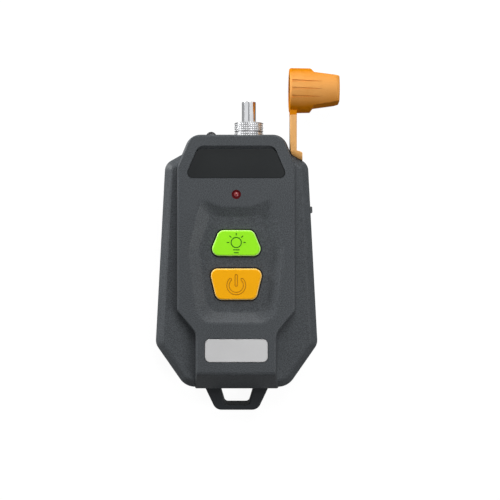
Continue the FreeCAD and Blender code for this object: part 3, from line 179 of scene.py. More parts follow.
# ================================================================ shader helpers
class Graph:
    """Adds nodes to a node tree. Inputs go by name or number, each a value or a socket."""

    def __init__(self, tree):
        self.tree = tree

    def add(self, kind, inputs=None, **settings):
        item = self.tree.nodes.new(kind)
        for key, value in settings.items():
            setattr(item, key, value)
        for key, value in (inputs or {}).items():
            self.feed(item.inputs[key], value)
        return item

    def feed(self, socket, value):
        if isinstance(value, bpy.types.NodeSocket):
            self.tree.links.new(value, socket)
        else:
            socket.default_value = value

    def maths(self, operation, a, b=0.0, c=0.0, clamp=False):
        inputs = {0: a, 1: b, 2: c}
        return self.add("ShaderNodeMath", inputs, operation=operation, use_clamp=clamp).outputs[0]

    def vector(self, operation, a, b):
        return self.add("ShaderNodeVectorMath", {0: a, 1: b}, operation=operation).outputs[0]

    def combine(self, x=0.0, y=0.0, z=0.0):
        return self.add("ShaderNodeCombineXYZ", {0: x, 1: y, 2: z}).outputs[0]

    def coordinate(self, vector, letter):
        return self.add("ShaderNodeSeparateXYZ", {0: vector}).outputs[letter]

    def mix(self, factor, a, b):
        """Two colours mixed. A Mix node's colours are its sockets 6 and 7, and 2 on its way out."""
        inputs = {"Factor": factor, 6: a, 7: b}
        return self.add("ShaderNodeMix", inputs, data_type="RGBA").outputs[2]

    def mix_value(self, factor, a, b):
        return self.add("ShaderNodeMix", {"Factor": factor, "A": a, "B": b}).outputs[0]

    def spread(self, value, low, high, new_low=0.0, new_high=1.0):
        inputs = {0: value, 1: low, 2: high, 3: new_low, 4: new_high}
        return self.add("ShaderNodeMapRange", inputs).outputs[0]

    def noise(self, vector, scale, detail=2.0, rough=0.5):
        inputs = {"Vector": vector, "Scale": scale, "Detail": detail, "Roughness": rough}
        return self.add("ShaderNodeTexNoise", inputs).outputs["Fac"]

    def bump(self, height, depth):
        """The normal of a relief that is this deep, in mm."""
        inputs = {"Strength": 1.0, "Distance": depth * MM, "Height": height}
        return self.add("ShaderNodeBump", inputs).outputs[0]

    def group(self, tree, values):
        return self.add("ShaderNodeGroup", values, node_tree=tree).outputs


FLOAT, COLOUR, VECTOR = "NodeSocketFloat", "NodeSocketColor", "NodeSocketVector"
WHOLE, MATERIAL = "NodeSocketInt", "NodeSocketMaterial"


def new_tree(name, kind, inputs, outputs):
    """An empty tree with these {name: socket type} inputs and outputs.

    Gives the tree, its Graph, and the sockets that its inputs and outputs come and go by.
    """
    tree = bpy.data.node_groups.new(name, kind)
    for label, socket_type in inputs.items():
        tree.interface.new_socket(label, in_out="INPUT", socket_type=socket_type)
    for label, socket_type in outputs.items():
        tree.interface.new_socket(label, in_out="OUTPUT", socket_type=socket_type)
    g = Graph(tree)
    return tree, g, g.add("NodeGroupInput").outputs, g.add("NodeGroupOutput").inputs


# ================================================================ surface effects
NOISE_SPAN = (0.3, 0.7)  # where nearly all of a noise's values lie
DRIFT_SCALE = 0.12 / MM
DRIFT_TONE = (0.97, 1.03)  # how dark and how light the drift makes a moulding
ROUGHNESS_DRIFT = 0.06
LATHE_PITCH = 0.12  # mm
LATHE_SMEAR_SCALE = 1.5 / MM  # of the noise that breaks the rings up
LATHE_ROUGHNESS = 0.04  # how much rougher the top of a ring is
HAZE_SCALE = 0.5 / MM
HAZE_DEEP = 0.93  # how bright a metal is where its haze is thickest
HIGHLIGHT_SCALE = 0.8 / MM
HIGHLIGHT_SPAN = (0.35, 0.65)  # the noise's values between which the painted highlight goes from thin to full
HIGHLIGHT_THIN = 0.75  # how much of the painted highlight is left where the noise makes it thinnest
LENS_SCALE = 2 / MM
LENS_CLOUD = 0.3  # how uneven the lens's painted shading is
LENS_DARKENS = (0.25, 0.95)  # the shares of its radius between which a lens gets its edge's colour
SHEEN_SCALE = 0.25 / MM
SHEEN_CLOUD = 0.4  # how uneven the painted sheen is


def moulded_grain():
    """The fine spark-eroded grain of a mould, with a slow drift of tone and gloss over it."""
    tree, g, given, put = new_tree(
        "moulded_grain",
        "ShaderNodeTree",
        {
            "Vector": VECTOR,
            "Colour": COLOUR,
            "Grain size": FLOAT,
            "Grain tone": FLOAT,
            "Roughness": FLOAT,
            "Roughness drift": FLOAT,
        },
        {"Colour": COLOUR, "Roughness": FLOAT, "Height": FLOAT},
    )
    scale = g.maths("DIVIDE", 1 / MM, given["Grain size"])
    fine = g.noise(given["Vector"], scale, detail=3.0, rough=0.6)
    drift = g.noise(given["Vector"], DRIFT_SCALE, detail=3.0)
    tone = g.maths("MULTIPLY_ADD", g.maths("SUBTRACT", fine, 0.5), given["Grain tone"], 1.0)
    tone = g.maths("MULTIPLY", tone, g.spread(drift, *NOISE_SPAN, *DRIFT_TONE))
    inputs = {0: given["Colour"], "Scale": tone}
    g.feed(put["Colour"], g.add("ShaderNodeVectorMath", inputs, operation="SCALE").outputs[0])
    offset = g.maths("MULTIPLY", g.maths("SUBTRACT", drift, 0.5), given["Roughness drift"])
    g.feed(put["Roughness"], g.maths("ADD", given["Roughness"], offset, clamp=True))
    g.feed(put["Height"], fine)
    return tree


def lathe_marks():
    """Fine rings left by a turning tool, round an axis along Y."""
    tree, g, given, put = new_tree(
        "lathe_marks",
        "ShaderNodeTree",
        {"Vector": VECTOR, "Pitch": FLOAT, "Roughness": FLOAT},
        {"Roughness": FLOAT, "Height": FLOAT},
    )
    along = g.maths("DIVIDE", g.coordinate(given["Vector"], "Y"), MM)
    turns = g.maths("DIVIDE", along, given["Pitch"])
    wave = g.maths("SINE", g.maths("MULTIPLY", turns, math.tau))
    height = g.maths("MULTIPLY", wave, g.noise(given["Vector"], LATHE_SMEAR_SCALE))
    g.feed(put["Height"], height)
    rough = g.maths("MULTIPLY_ADD", height, LATHE_ROUGHNESS, given["Roughness"])
    g.feed(put["Roughness"], rough)
    return tree


def painted_edge_highlight():
    """A painted highlight: a paler colour on the round of a moulding's top edge, between two heights,
    uneven with noise.
    """
    tree, g, given, put = new_tree(
        "painted_edge_highlight",
        "ShaderNodeTree",
        {"Vector": VECTOR, "Colour": COLOUR, "Rim": COLOUR, "Low": FLOAT, "High": FLOAT},
        {"Colour": COLOUR},
    )
    middle = g.maths("MULTIPLY", g.maths("ADD", given["Low"], given["High"]), 0.5)
    half = g.maths("MULTIPLY", g.maths("SUBTRACT", given["High"], given["Low"]), 0.5)
    away = g.maths("ABSOLUTE", g.maths("SUBTRACT", g.coordinate(given["Vector"], "Z"), middle))
    patchy = g.spread(g.noise(given["Vector"], HIGHLIGHT_SCALE), *HIGHLIGHT_SPAN, HIGHLIGHT_THIN, 1.0)
    mask = g.maths("MULTIPLY", g.spread(g.maths("DIVIDE", away, half), 1.0, 0.5), patchy)
    g.feed(put["Colour"], g.mix(mask, given["Colour"], given["Rim"]))
    return tree


def painted_top_sheen():
    """A painted sheen: a paler colour that grows between two heights, so that the higher part of the
    rubber looks lit, made uneven by noise.
    """
    tree, g, given, put = new_tree(
        "painted_top_sheen",
        "ShaderNodeTree",
        {"Vector": VECTOR, "Colour": COLOUR, "Sheen": COLOUR, "Low": FLOAT, "High": FLOAT},
        {"Colour": COLOUR},
    )
    share = g.maths("SUBTRACT", g.coordinate(given["Vector"], "Z"), given["Low"])
    share = g.maths("DIVIDE", share, g.maths("SUBTRACT", given["High"], given["Low"]))
    cloudy = g.maths("SUBTRACT", g.noise(given["Vector"], SHEEN_SCALE, detail=3.0), 0.5)
    mask = g.maths("MULTIPLY_ADD", cloudy, SHEEN_CLOUD, share, clamp=True)
    g.feed(put["Colour"], g.mix(mask, given["Colour"], given["Sheen"]))
    return tree


def painted_lens_shading():
    """Painted shading on a lens: a lighter middle that darkens to its edge, round an axis along Z, in
    place of how light falls on its dome.
    """
    tree, g, given, put = new_tree(
        "painted_lens_shading",
        "ShaderNodeTree",
        {"Vector": VECTOR, "Centre": VECTOR, "Radius": FLOAT, "Middle": COLOUR, "Edge": COLOUR},
        {"Colour": COLOUR},
    )
    away = g.vector("SUBTRACT", given["Vector"], given["Centre"])
    flat = g.vector("MULTIPLY", away, (1, 1, 0))
    radius = g.add("ShaderNodeVectorMath", {0: flat}, operation="LENGTH").outputs["Value"]
    share = g.maths("DIVIDE", radius, given["Radius"])
    cloudy = g.maths("SUBTRACT", g.noise(given["Vector"], LENS_SCALE), 0.5)
    share = g.maths("ADD", share, g.maths("MULTIPLY", cloudy, LENS_CLOUD))
    g.feed(put["Colour"], g.mix(g.spread(share, *LENS_DARKENS), given["Middle"], given["Edge"]))
    return tree


GRAIN = moulded_grain()
LATHE = lathe_marks()
EDGE_HIGHLIGHT = painted_edge_highlight()
TOP_SHEEN = painted_top_sheen()
LENS_SHADING = painted_lens_shading()


# ================================================================ materials
def start_material(name):
    """A material, its Graph, its Principled shader and the Object coordinates."""
    material = bpy.data.materials.new(name)
    material.use_nodes = True
    tree = material.node_tree
    g = Graph(tree)
    place = g.add("ShaderNodeTexCoord").outputs["Object"]
    return material, g, tree.nodes["Principled BSDF"], place


def grained(name, colour, grain, tone, rough, bump, specular=0.5, rim=None, painted_sheen=None):
    """A moulded plastic or rubber. grain is in mm, and bump is its depth in mm.

    rim gives the colour of a painted highlight on its top edge, and the heights in mm that this lies
    between.
    The last argument gives the colour of a painted sheen that is paler higher up, and the heights in mm
    that it grows between.
    """
    material, g, shader, place = start_material(name)
    values = {
        "Vector": place,
        "Colour": (*colour, 1),
        "Grain size": grain,
        "Grain tone": tone,
        "Roughness": rough,
        "Roughness drift": ROUGHNESS_DRIFT,
    }
    skin = g.group(GRAIN, values)
    shown = skin["Colour"]
    # Paint the highlight on the top edge and the sheen on the higher part, where they are given.
    for tree, label, given in ((EDGE_HIGHLIGHT, "Rim", rim), (TOP_SHEEN, "Sheen", painted_sheen)):
        if given:
            pale, low, high = given
            values = {"Vector": place, "Colour": shown, label: (*pale, 1)}
            values.update({"Low": low * MM, "High": high * MM})
            shown = g.group(tree, values)["Colour"]
    g.feed(shader.inputs["Base Color"], shown)
    g.feed(shader.inputs["Roughness"], skin["Roughness"])
    g.feed(shader.inputs["Normal"], g.bump(skin["Height"], bump))
    shader.inputs["Specular IOR Level"].default_value = specular
    return material


def cast_lens(name, centre, radius, middle, edge, rough):
    """A small moulded lens on an axis along Z, painted with light and shade from its lighter middle to
    its darker edge.
    """
    material, g, shader, place = start_material(name)
    values = {"Vector": place, "Centre": centre, "Radius": radius}
    values.update({"Middle": (*middle, 1), "Edge": (*edge, 1)})
    g.feed(shader.inputs["Base Color"], g.group(LENS_SHADING, values)["Colour"])
    shader.inputs["Roughness"].default_value = rough
    return material


def turned_metal(name, colour, rough, bump=0.002):
    """A metal with lathe marks along Y and a faint haze. bump is their depth in mm."""
    material, g, shader, place = start_material(name)
    marks = g.group(LATHE, {"Vector": place, "Pitch": LATHE_PITCH, "Roughness": rough})
    haze = g.spread(g.noise(place, HAZE_SCALE, detail=3.0), *NOISE_SPAN)
    deep = [part * HAZE_DEEP for part in colour]
    g.feed(shader.inputs["Base Color"], g.mix(haze, (*deep, 1), (*colour, 1)))
    g.feed(shader.inputs["Roughness"], marks["Roughness"])
    g.feed(shader.inputs["Normal"], g.bump(marks["Height"], bump))
    shader.inputs["Metallic"].default_value = 1.0
    return material


# ---------------------------------------------------------------- the case and its plates
SHELL = grained(
    "shell_plastic", (0.067, 0.073, 0.079), grain=0.27, tone=2.2, rough=0.4, bump=0.012, specular=0.12
)
REAR = grained(
    "shell_dark", (0.020, 0.022, 0.025), grain=0.3, tone=0.5, rough=0.5, bump=0.012, specular=0.12
)
PLATE = grained(
    "plate_black", (0.020, 0.022, 0.023), grain=0.6, tone=0.1, rough=0.3, bump=0.002, specular=0.15
)
LABEL = grained(
    "label_silver", (0.60, 0.60, 0.605), grain=0.5, tone=0.04, rough=0.4, bump=0.002, specular=0.2
)

# ---------------------------------------------------------------- the keys and lights
KEY_SKIN = {"grain": 0.3, "tone": 0.05, "rough": 0.45, "bump": 0.006, "specular": 0.12}
SIGN_SKIN = {"grain": 0.3, "tone": 0.05, "rough": 0.6, "bump": 0.002, "specular": 0.1}
# The keys' top edges are painted paler between the KEY_EDGE heights: a painted highlight.
GREEN = grained("key_green", (0.325, 0.88, 0.018), **KEY_SKIN, rim=((0.62, 0.95, 0.30), *KEY_EDGE))
ORANGE = grained("key_orange", (0.92, 0.415, 0.002), **KEY_SKIN, rim=((0.95, 0.68, 0.25), *KEY_EDGE))
SIGN_GREEN = grained("sign_green", (0.03, 0.15, 0.008), **SIGN_SKIN)
# Dark amber for the painted shade in the power sign's groove.
GROOVE_SHADE_AMBER = grained("groove_shade_amber", (0.50, 0.19, 0.004), **SIGN_SKIN)
# Black for the painted shade in the gaps round the keys.
KEY_GAP_BLACK = grained(
    "key_gap_black", (0.008, 0.009, 0.009), grain=0.3, tone=0.1, rough=0.6, bump=0.004, specular=0.1
)
# Painted light and shade: the red lens is lighter in its middle and darker at its edge.
LED_RED = cast_lens(
    "led_red", LED_CENTRE, LED_RADIUS, middle=(0.24, 0.014, 0.017), edge=(0.09, 0.002, 0.004), rough=0.12
)
LED_CLEAR = grained("led_clear", (0.022, 0.022, 0.025), grain=0.6, tone=0.1, rough=0.08, bump=0.0)

# ---------------------------------------------------------------- rubber
# The cap's rubber is painted paler on its higher part: a painted sheen for the light on its top.
RUBBER = grained(
    "cap_rubber",
    (0.64, 0.21, 0.003),
    grain=0.35,
    tone=0.06,
    rough=0.6,
    bump=0.006,
    specular=0.02,
    painted_sheen=((0.80, 0.38, 0.11), 12.0, 15.0),
)
# Painted light: the strap is given a paler orange than the cap's rubber, for the light on its flat face.
STRAP = grained(
    "strap_rubber", (0.73, 0.38, 0.12), grain=0.35, tone=0.06, rough=0.4, bump=0.006, specular=0.3
)
COVER = grained("cover_rubber", (0.045, 0.049, 0.052), grain=0.3, tone=0.1, rough=0.55, bump=0.008)

# ---------------------------------------------------------------- what is inside
DARK = grained("dark_plastic", (0.03, 0.03, 0.03), grain=0.3, tone=0.1, rough=0.5, bump=0.004)
BOARD = grained("board_mask", (0.015, 0.12, 0.045), grain=0.8, tone=0.3, rough=0.3, bump=0.01)
CHIP = grained("chip_body", (0.025, 0.025, 0.027), grain=0.2, tone=0.2, rough=0.5, bump=0.006)
CAPACITOR = grained("capacitor_body", (0.42, 0.27, 0.15), grain=0.3, tone=0.1, rough=0.4, bump=0.003)
FOIL = grained("cell_foil", (0.6, 0.6, 0.62), grain=1.2, tone=0.1, rough=0.3, bump=0.03)
FOAM = grained("foam", (0.8, 0.8, 0.76), grain=0.4, tone=0.2, rough=0.9, bump=0.06)
WIRE_RED = grained("wire_red", (0.5, 0.015, 0.015), grain=0.4, tone=0.1, rough=0.4, bump=0.004)
WIRE_BLACK = grained("wire_black", (0.02, 0.02, 0.02), grain=0.4, tone=0.1, rough=0.4, bump=0.004)
ZIRCONIA = grained("zirconia", (0.85, 0.85, 0.82), grain=0.3, tone=0.03, rough=0.2, bump=0.001)
LENS = grained("lens_glass", (0.8, 0.85, 0.85), grain=0.6, tone=0.02, rough=0.05, bump=0.0)

# ---------------------------------------------------------------- metals
STEEL = turned_metal("steel", (0.72, 0.73, 0.75), rough=0.12, bump=0.0006)
COLLAR = turned_metal("collar_nickel", (0.88, 0.89, 0.90), rough=0.25)
# Painted shade: the collar's core is a darker metal than its studs, so the gaps between the studs and
# the groove look dark.
COLLAR_CORE = turned_metal("collar_core", (0.30, 0.30, 0.31), rough=0.4)
BRASS = turned_metal("brass", (0.72, 0.52, 0.22), rough=0.25)
NICKEL = turned_metal("nickel", (0.72, 0.70, 0.65), rough=0.25)
SCREW = turned_metal("screw_steel", (0.25, 0.25, 0.26), rough=0.35)

FINISHES = {
    SHELL: ("front_case",),
    REAR: ("rear_case",),
    PLATE: ("name_plate",),
    LABEL: ("rating_label",),
    GREEN: ("lamp_button",),
    ORANGE: ("power_button",),
    RUBBER: ("dust_cap",),
    STRAP: ("cap_tether",),
    COVER: ("port_cover",),
    DARK: ("lamp_switch", "power_switch", "lamp_plunger", "power_plunger", "usb_tongue"),
    BOARD: ("circuit_board",),
    CHIP: ("driver_chip", "charger_chip"),
    CAPACITOR: ("board_capacitors",),
    FOIL: ("battery",),
    FOAM: ("battery_pad",),
    WIRE_RED: ("battery_lead_plus",),
    WIRE_BLACK: ("battery_lead_minus",),
    ZIRCONIA: ("ceramic_sleeve",),
    LED_RED: ("indicator_led",),
    LED_CLEAR: ("torch_led",),
    LENS: ("focus_lens",),
    STEEL: ("ferrule_tube",),
    COLLAR: ("connector_collar",),
    BRASS: ("laser_barrel",),
    NICKEL: ("laser_diode", "usb_socket"),
    SCREW: ("case_screws", "board_screws"),
}
for finish, node_names in FINISHES.items():
    for node_name in node_names:
        NODES[node_name].data.materials.clear()
        NODES[node_name].data.materials.append(finish)


# ================================================================ geometry nodes
def geometry_tree(name, inputs):
    """A Geometry Nodes tree that puts out one geometry."""
    outputs = {"Geometry": "NodeSocketGeometry"}
    tree, g, given, put = new_tree(name, "GeometryNodeTree", inputs, outputs)
    return tree, g, given, put["Geometry"]


def grown(name, tree, values):
    """What the tree makes from the given inputs, as an object with a plain mesh."""
    host = link_object(bpy.data.objects.new(name + "_host", bpy.data.meshes.new(name + "_host")))
    modifier = host.modifiers.new("grow", "NODES")
    modifier.node_group = tree
    for item in tree.interface.items_tree:
        if item.item_type == "SOCKET" and item.in_out == "INPUT":
            modifier[item.identifier] = values[item.name]
    graph = bpy.context.evaluated_depsgraph_get()
    mesh = bpy.data.meshes.new_from_object(host.evaluated_get(graph))
    mesh.name = name
    bpy.data.objects.remove(host)
    return link_object(bpy.data.objects.new(name, mesh))


def copies(g, count, spots, centre, instance, **turned):
    """The instance at each of count spots from the centre, with a Rotation or Scale of its own."""
    place = g.vector("ADD", spots, centre)
    points = g.add("GeometryNodePoints", {"Count": count, "Position": place})
    inputs = {"Points": points.outputs[0], "Instance": instance, **turned}
    return g.add("GeometryNodeInstanceOnPoints", inputs).outputs[0]


def finish_tree(g, pieces, given, put):
    """Join the pieces, realize them and give them the Material input."""
    together = g.add("GeometryNodeJoinGeometry")
    for piece in pieces:
        g.feed(together.inputs[0], piece)
    real = g.add("GeometryNodeRealizeInstances", {0: together.outputs[0]})
    inputs = {"Geometry": real.outputs[0], "Material": given["Material"]}
    g.feed(put, g.add("GeometryNodeSetMaterial", inputs).outputs[0])


def square_stud(g, width, height):
    """A low pyramid without its tip, whose middle is level with the origin."""
    corner = g.maths("MULTIPLY", width, math.sqrt(0.5))
    inputs = {
        "Vertices": 4,
        "Radius Top": g.maths("MULTIPLY", corner, KNURL_TOP),
        "Radius Bottom": corner,
        "Depth": height,
    }
    cone = g.add("GeometryNodeMeshCone", inputs)
    inputs = {
        "Geometry": cone.outputs[0],
        "Translation": g.combine(z=g.maths("MULTIPLY", height, -0.5)),
        "Rotation": (0.0, 0.0, math.radians(45)),
    }
    return g.add("GeometryNodeTransform", inputs).outputs[0]


def knurl_tree():
    """Rows of small square studs round an axis along Y."""
    tree, g, given, put = geometry_tree(
        "knurl",
        {
            "Centre": VECTOR,
            "Radius": FLOAT,
            "Columns": WHOLE,
            "Rows": WHOLE,
            "Row step": FLOAT,
            "Gap": FLOAT,
            "Height": FLOAT,
            "Material": MATERIAL,
        },
    )
    index = g.add("GeometryNodeInputIndex").outputs[0]
    row = g.maths("FLOOR", g.maths("DIVIDE", index, given["Columns"]))
    column = g.maths("MODULO", index, given["Columns"])
    angle = g.maths("DIVIDE", g.maths("MULTIPLY", column, math.tau), given["Columns"])
    spots = g.combine(
        g.maths("MULTIPLY", g.maths("SINE", angle), given["Radius"]),
        g.maths("MULTIPLY", row, given["Row step"]),
        g.maths("MULTIPLY", g.maths("COSINE", angle), given["Radius"]),
    )
    pitch = g.maths("DIVIDE", g.maths("MULTIPLY", given["Radius"], math.tau), given["Columns"])
    width = g.maths("SUBTRACT", pitch, given["Gap"])
    tall = g.maths("DIVIDE", g.maths("SUBTRACT", given["Row step"], given["Gap"]), width)
    studs = copies(
        g,
        g.maths("MULTIPLY", given["Columns"], given["Rows"]),
        spots,
        given["Centre"],
        square_stud(g, width, given["Height"]),
        Rotation=g.combine(y=angle),
        Scale=g.combine(1.0, tall, 1.0),
    )
    finish_tree(g, [studs], given, put)
    return tree


def sign_ring(g, given):
    inputs = {"Resolution": ROUND_STEPS, "Radius": given["Ring radius"]}
    circle = g.add("GeometryNodeCurvePrimitiveCircle", inputs)
    inputs = {"Width": given["Line"], "Height": given["Thickness"]}
    section = g.add("GeometryNodeCurvePrimitiveQuadrilateral", inputs)
    inputs = {"Curve": circle.outputs[0], "Profile Curve": section.outputs[0]}
    ring = g.add("GeometryNodeCurveToMesh", inputs)
    inputs = {"Geometry": ring.outputs[0], "Translation": given["Centre"]}
    return g.add("GeometryNodeTransform", inputs).outputs[0]


def sign_stroke(g, given, length):
    """A straight stroke of a sign, along X."""
    size = g.combine(length, given["Line"], given["Thickness"])
    return g.add("GeometryNodeMeshCube", {"Size": size}).outputs[0]


def sign_rays(g, given):
    """Rays that stand at equal steps over the upper half of a ring."""
    index = g.add("GeometryNodeInputIndex").outputs[0]
    last = g.maths("SUBTRACT", given["Rays"], 1.0)
    angle = g.maths("DIVIDE", g.maths("MULTIPLY", index, math.pi), last)
    spots = g.combine(
        g.maths("MULTIPLY", g.maths("COSINE", angle), given["Ray middle"]),
        g.maths("MULTIPLY", g.maths("SINE", angle), given["Ray middle"]),
    )
    ray = sign_stroke(g, given, given["Ray length"])
    return copies(g, given["Rays"], spots, given["Centre"], ray, Rotation=g.combine(z=angle))


def sign_dashes(g, given):
    """Dashes one under another, each shorter than the last."""
    index = g.add("GeometryNodeInputIndex").outputs[0]
    drop = g.maths("MULTIPLY_ADD", index, given["Dash step"], given["Dash drop"])
    spots = g.combine(y=g.maths("MULTIPLY", drop, -1.0))
    dash = sign_stroke(g, given, given["Dash length"])
    left = g.maths("SUBTRACT", 1.0, g.maths("MULTIPLY", index, given["Dash shrink"]))
    scale = g.combine(left, 1.0, 1.0)
    return copies(g, given["Dashes"], spots, given["Centre"], dash, Scale=scale)


def lamp_sign_tree():
    """A lamp sign: a ring, rays over it and dashes under it."""
    tree, g, given, put = geometry_tree(
        "lamp_sign",
        {
            "Centre": VECTOR,
            "Ring radius": FLOAT,
            "Line": FLOAT,
            "Thickness": FLOAT,
            "Rays": WHOLE,
            "Ray middle": FLOAT,
            "Ray length": FLOAT,
            "Dashes": WHOLE,
            "Dash length": FLOAT,
            "Dash shrink": FLOAT,
            "Dash drop": FLOAT,
            "Dash step": FLOAT,
            "Material": MATERIAL,
        },
    )
    finish_tree(g, [sign_ring(g, given), sign_rays(g, given), sign_dashes(g, given)], given, put)
    return tree


# ================================================================ pieces
def joined(name, *objects):
    """One mesh object from several, at the origin."""
    bm = bmesh.new()
    for obj in objects:
        bm.from_mesh(obj.data)
    material = objects[0].data.materials[0]
    for obj in objects:
        bpy.data.objects.remove(obj)
    return mesh_object(name, bm, material)


def lathed(name, profile, centre, steps, material):
    """A closed profile of (radius, height) turned about an axis along Y."""
    bm = bmesh.new()
    rows = []
    for i in range(steps):
        angle = math.tau * i / steps
        x, z = math.sin(angle), math.cos(angle)
        rows.append([bm.verts.new((centre.x + r * x, y, centre.z + r * z)) for r, y in profile])
    bridge(bm, rows)
    return mesh_object(name, bm, material)


def collar_lip(start, end, core, outer, centre):
    """A plain ring with soft outer edges, between two heights on the collar's core."""
    soft = COLLAR_RIM / 2
    inner = core - COLLAR_RIM
    profile = [(inner, start), (outer - soft, start), (outer, start + soft)]
    profile += [(outer, end - soft), (outer - soft, end), (inner, end)]
    return lathed("collar_lip", profile, centre, COLLAR_STEPS, COLLAR)


def knurled_band(tree, start, end, core, centre):
    """Rows of studs between two heights on the collar's core."""
    rows = round((end - start) / KNURL_STEP)
    step = (end - start) / rows
    values = {
        "Centre": (centre.x, start + step / 2, centre.z),
        "Radius": core + KNURL_HEIGHT / 2 - KNURL_SUNK,
        "Columns": KNURL_COLUMNS,
        "Rows": rows,
        "Row step": step,
        "Gap": KNURL_GAP,
        "Height": KNURL_HEIGHT,
        "Material": COLLAR,
    }
    return grown("collar_band", tree, values)


def knurled_collar():
    """The collar that clamps the ferrule tube, with two bands of knurling and a groove between."""
    low, high = (Vector(corner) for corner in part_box("connector_collar"))
    centre = (low + high) / 2
    outer = (high.x - low.x) / 2
    core = outer - KNURL_HEIGHT
    foot, head = low.y + COLLAR_RIM / 2, high.y - COLLAR_RIM / 2
    groove_start = low.y + LOWER_BAND
    groove_end = low.y + LOWER_BAND + GROOVE_WIDTH
    profile = [
        (COLLAR_BORE, foot),
        (core, foot),
        (core, groove_start),
        (outer - GROOVE_DEPTH, groove_start),
        (outer - GROOVE_DEPTH, groove_end),
        (core, groove_end),
        (core, head),
        (COLLAR_BORE, head),
    ]
    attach(lathed("collar_core", profile, centre, COLLAR_STEPS, COLLAR_CORE), "housing")
    lower_lip = collar_lip(low.y, low.y + COLLAR_RIM, core, outer, centre)
    upper_lip = collar_lip(high.y - COLLAR_LIP, high.y, core, outer, centre)
    tree = knurl_tree()
    lower_band = knurled_band(tree, low.y + COLLAR_RIM, groove_start, core, centre)
    upper_band = knurled_band(tree, groove_end, high.y - COLLAR_LIP, core, centre)
    collar = joined("knurled_collar", lower_lip, upper_lip, lower_band, upper_band)
    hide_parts("connector_collar")
    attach(collar, "housing")


def bending_strap():
    """The cap's strap as one mesh, cut across in slices above its foot, its top end sunk into the cap's
    stub.
    """
    low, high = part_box("cap_tether")
    bm = bmesh.new()
    bm.from_mesh(NODES["cap_tether"].data)
    bmesh.ops.remove_doubles(bm, verts=bm.verts, dist=STRAP_MERGE)
    bmesh.ops.dissolve_limit(bm, angle_limit=STRAP_FLAT, verts=bm.verts, edges=bm.edges)
    top = high[1]
    for vert in bm.verts:
        if vert.co.y > top - STRAP_SINK:
            vert.co.y += STRAP_SINK
    for i in range(STRAP_SLICES + 1):
        y = STRAP_FREE_Y + (top - STRAP_FREE_Y) * i / STRAP_SLICES
        bmesh.ops.bisect_plane(
            bm, geom=bm.verts[:] + bm.edges[:] + bm.faces[:], plane_co=(0, y, 0), plane_no=(0, 1, 0)
        )
    bmesh.ops.triangulate(bm, faces=bm.faces)
    bmesh.ops.recalc_face_normals(bm, faces=bm.faces)
    made = mesh_object("bending_strap", bm, STRAP, STRAP_CREASE)
    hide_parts("cap_tether")
    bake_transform(made)


def lamp_sign():
    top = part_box("lamp_button")[1][2]
    values = {"Centre": (0.0, LAMP_SIGN_Y, top), "Material": SIGN_GREEN, **LAMP_SIGN_SIZES}
    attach(grown("lamp_sign", lamp_sign_tree(), values), "lamp_key")


def ribbon(name, path, near, far, low, high, material):
    """A closed band that runs beside a closed level path, near to far out from it."""
    bm = bmesh.new()
    rows = []
    for i, point in enumerate(path):
        run = (path[(i + 1) % len(path)] - path[i - 1]).normalized()
        out = Vector((run.y, -run.x))
        a, b = point + out * near, point + out * far
        rows.append([bm.verts.new((*p, z)) for p, z in ((a, low), (b, low), (b, high), (a, high))])
    bridge(bm, rows)
    return mesh_object(name, bm, material)


def led_ring():
    """The red lens's rim, which closes the hole round it, in the dark edge colour of the lens's painted
    shading.
    """
    near, far = LED_RING
    circle = []
    for i in range(ROUND_STEPS):
        angle = math.tau * i / ROUND_STEPS
        circle.append(Vector((math.cos(angle), math.sin(angle))) * near + Vector(LED_CENTRE[:2]))
    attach(ribbon("indicator_rim", circle, 0, far - near, *LED_RING_Z, LED_RED), "housing")


def round_stroke(spine, reach):
    """The closed path at one distance all round an open line, round at its ends."""
    path = []
    for line in (spine, spine[::-1]):
        for i, point in enumerate(line):
            run = (line[min(i + 1, len(line) - 1)] - line[max(i - 1, 0)]).normalized()
            side = Vector((run.y, -run.x))
            path.append(point + side * reach)
        for k in range(1, STROKE_END_STEPS):
            angle = math.pi * k / STROKE_END_STEPS
            path.append(line[-1] + (side * math.cos(angle) + run * math.sin(angle)) * reach)
    return path


def power_sign_groove_shade():
    """Painted shade: a dark line round each stroke of the power sign, at the bottom of its groove, where
    its walls are in shade.
    """
    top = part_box("power_button")[1][2] - POWER_SIGN_SUNK
    centre = Vector((0, POWER_SIGN_Y))
    arc = []
    for i in range(ROUND_STEPS + 1):
        angle = math.radians(POWER_SIGN_GAP + (360 - 2 * POWER_SIGN_GAP) * i / ROUND_STEPS)
        arc.append(Vector((math.sin(angle), math.cos(angle))) * POWER_SIGN_R + centre)
    bar = [Vector((0, y)) for y in POWER_SIGN_BAR]
    half = POWER_SIGN_LINE / 2
    lines = []
    for spine in (arc, bar):
        path = round_stroke(spine, POWER_SIGN_REACH)
        line = ribbon("groove_shade_line", path, -half, half, top - POWER_SIGN_DEEP, top, GROOVE_SHADE_AMBER)
        lines.append(line)
    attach(joined("power_sign_groove_shade", *lines), "power_key")


def hull(points):
    """The corners of the convex outline of these points from above, anticlockwise."""
    ordered = sorted({(round(p.x, CORNER_DIGITS), round(p.y, CORNER_DIGITS)) for p in points})
    halves = []
    for run in (ordered, ordered[::-1]):
        chain = []
        for point in run:
            while len(chain) > 1:
                (ax, ay), (bx, by) = chain[-2:]
                if (bx - ax) * (point[1] - ay) - (by - ay) * (point[0] - ax) > 0:
                    break
                chain.pop()
            chain.append(point)
        halves += chain[:-1]
    return [Vector(point) for point in halves]


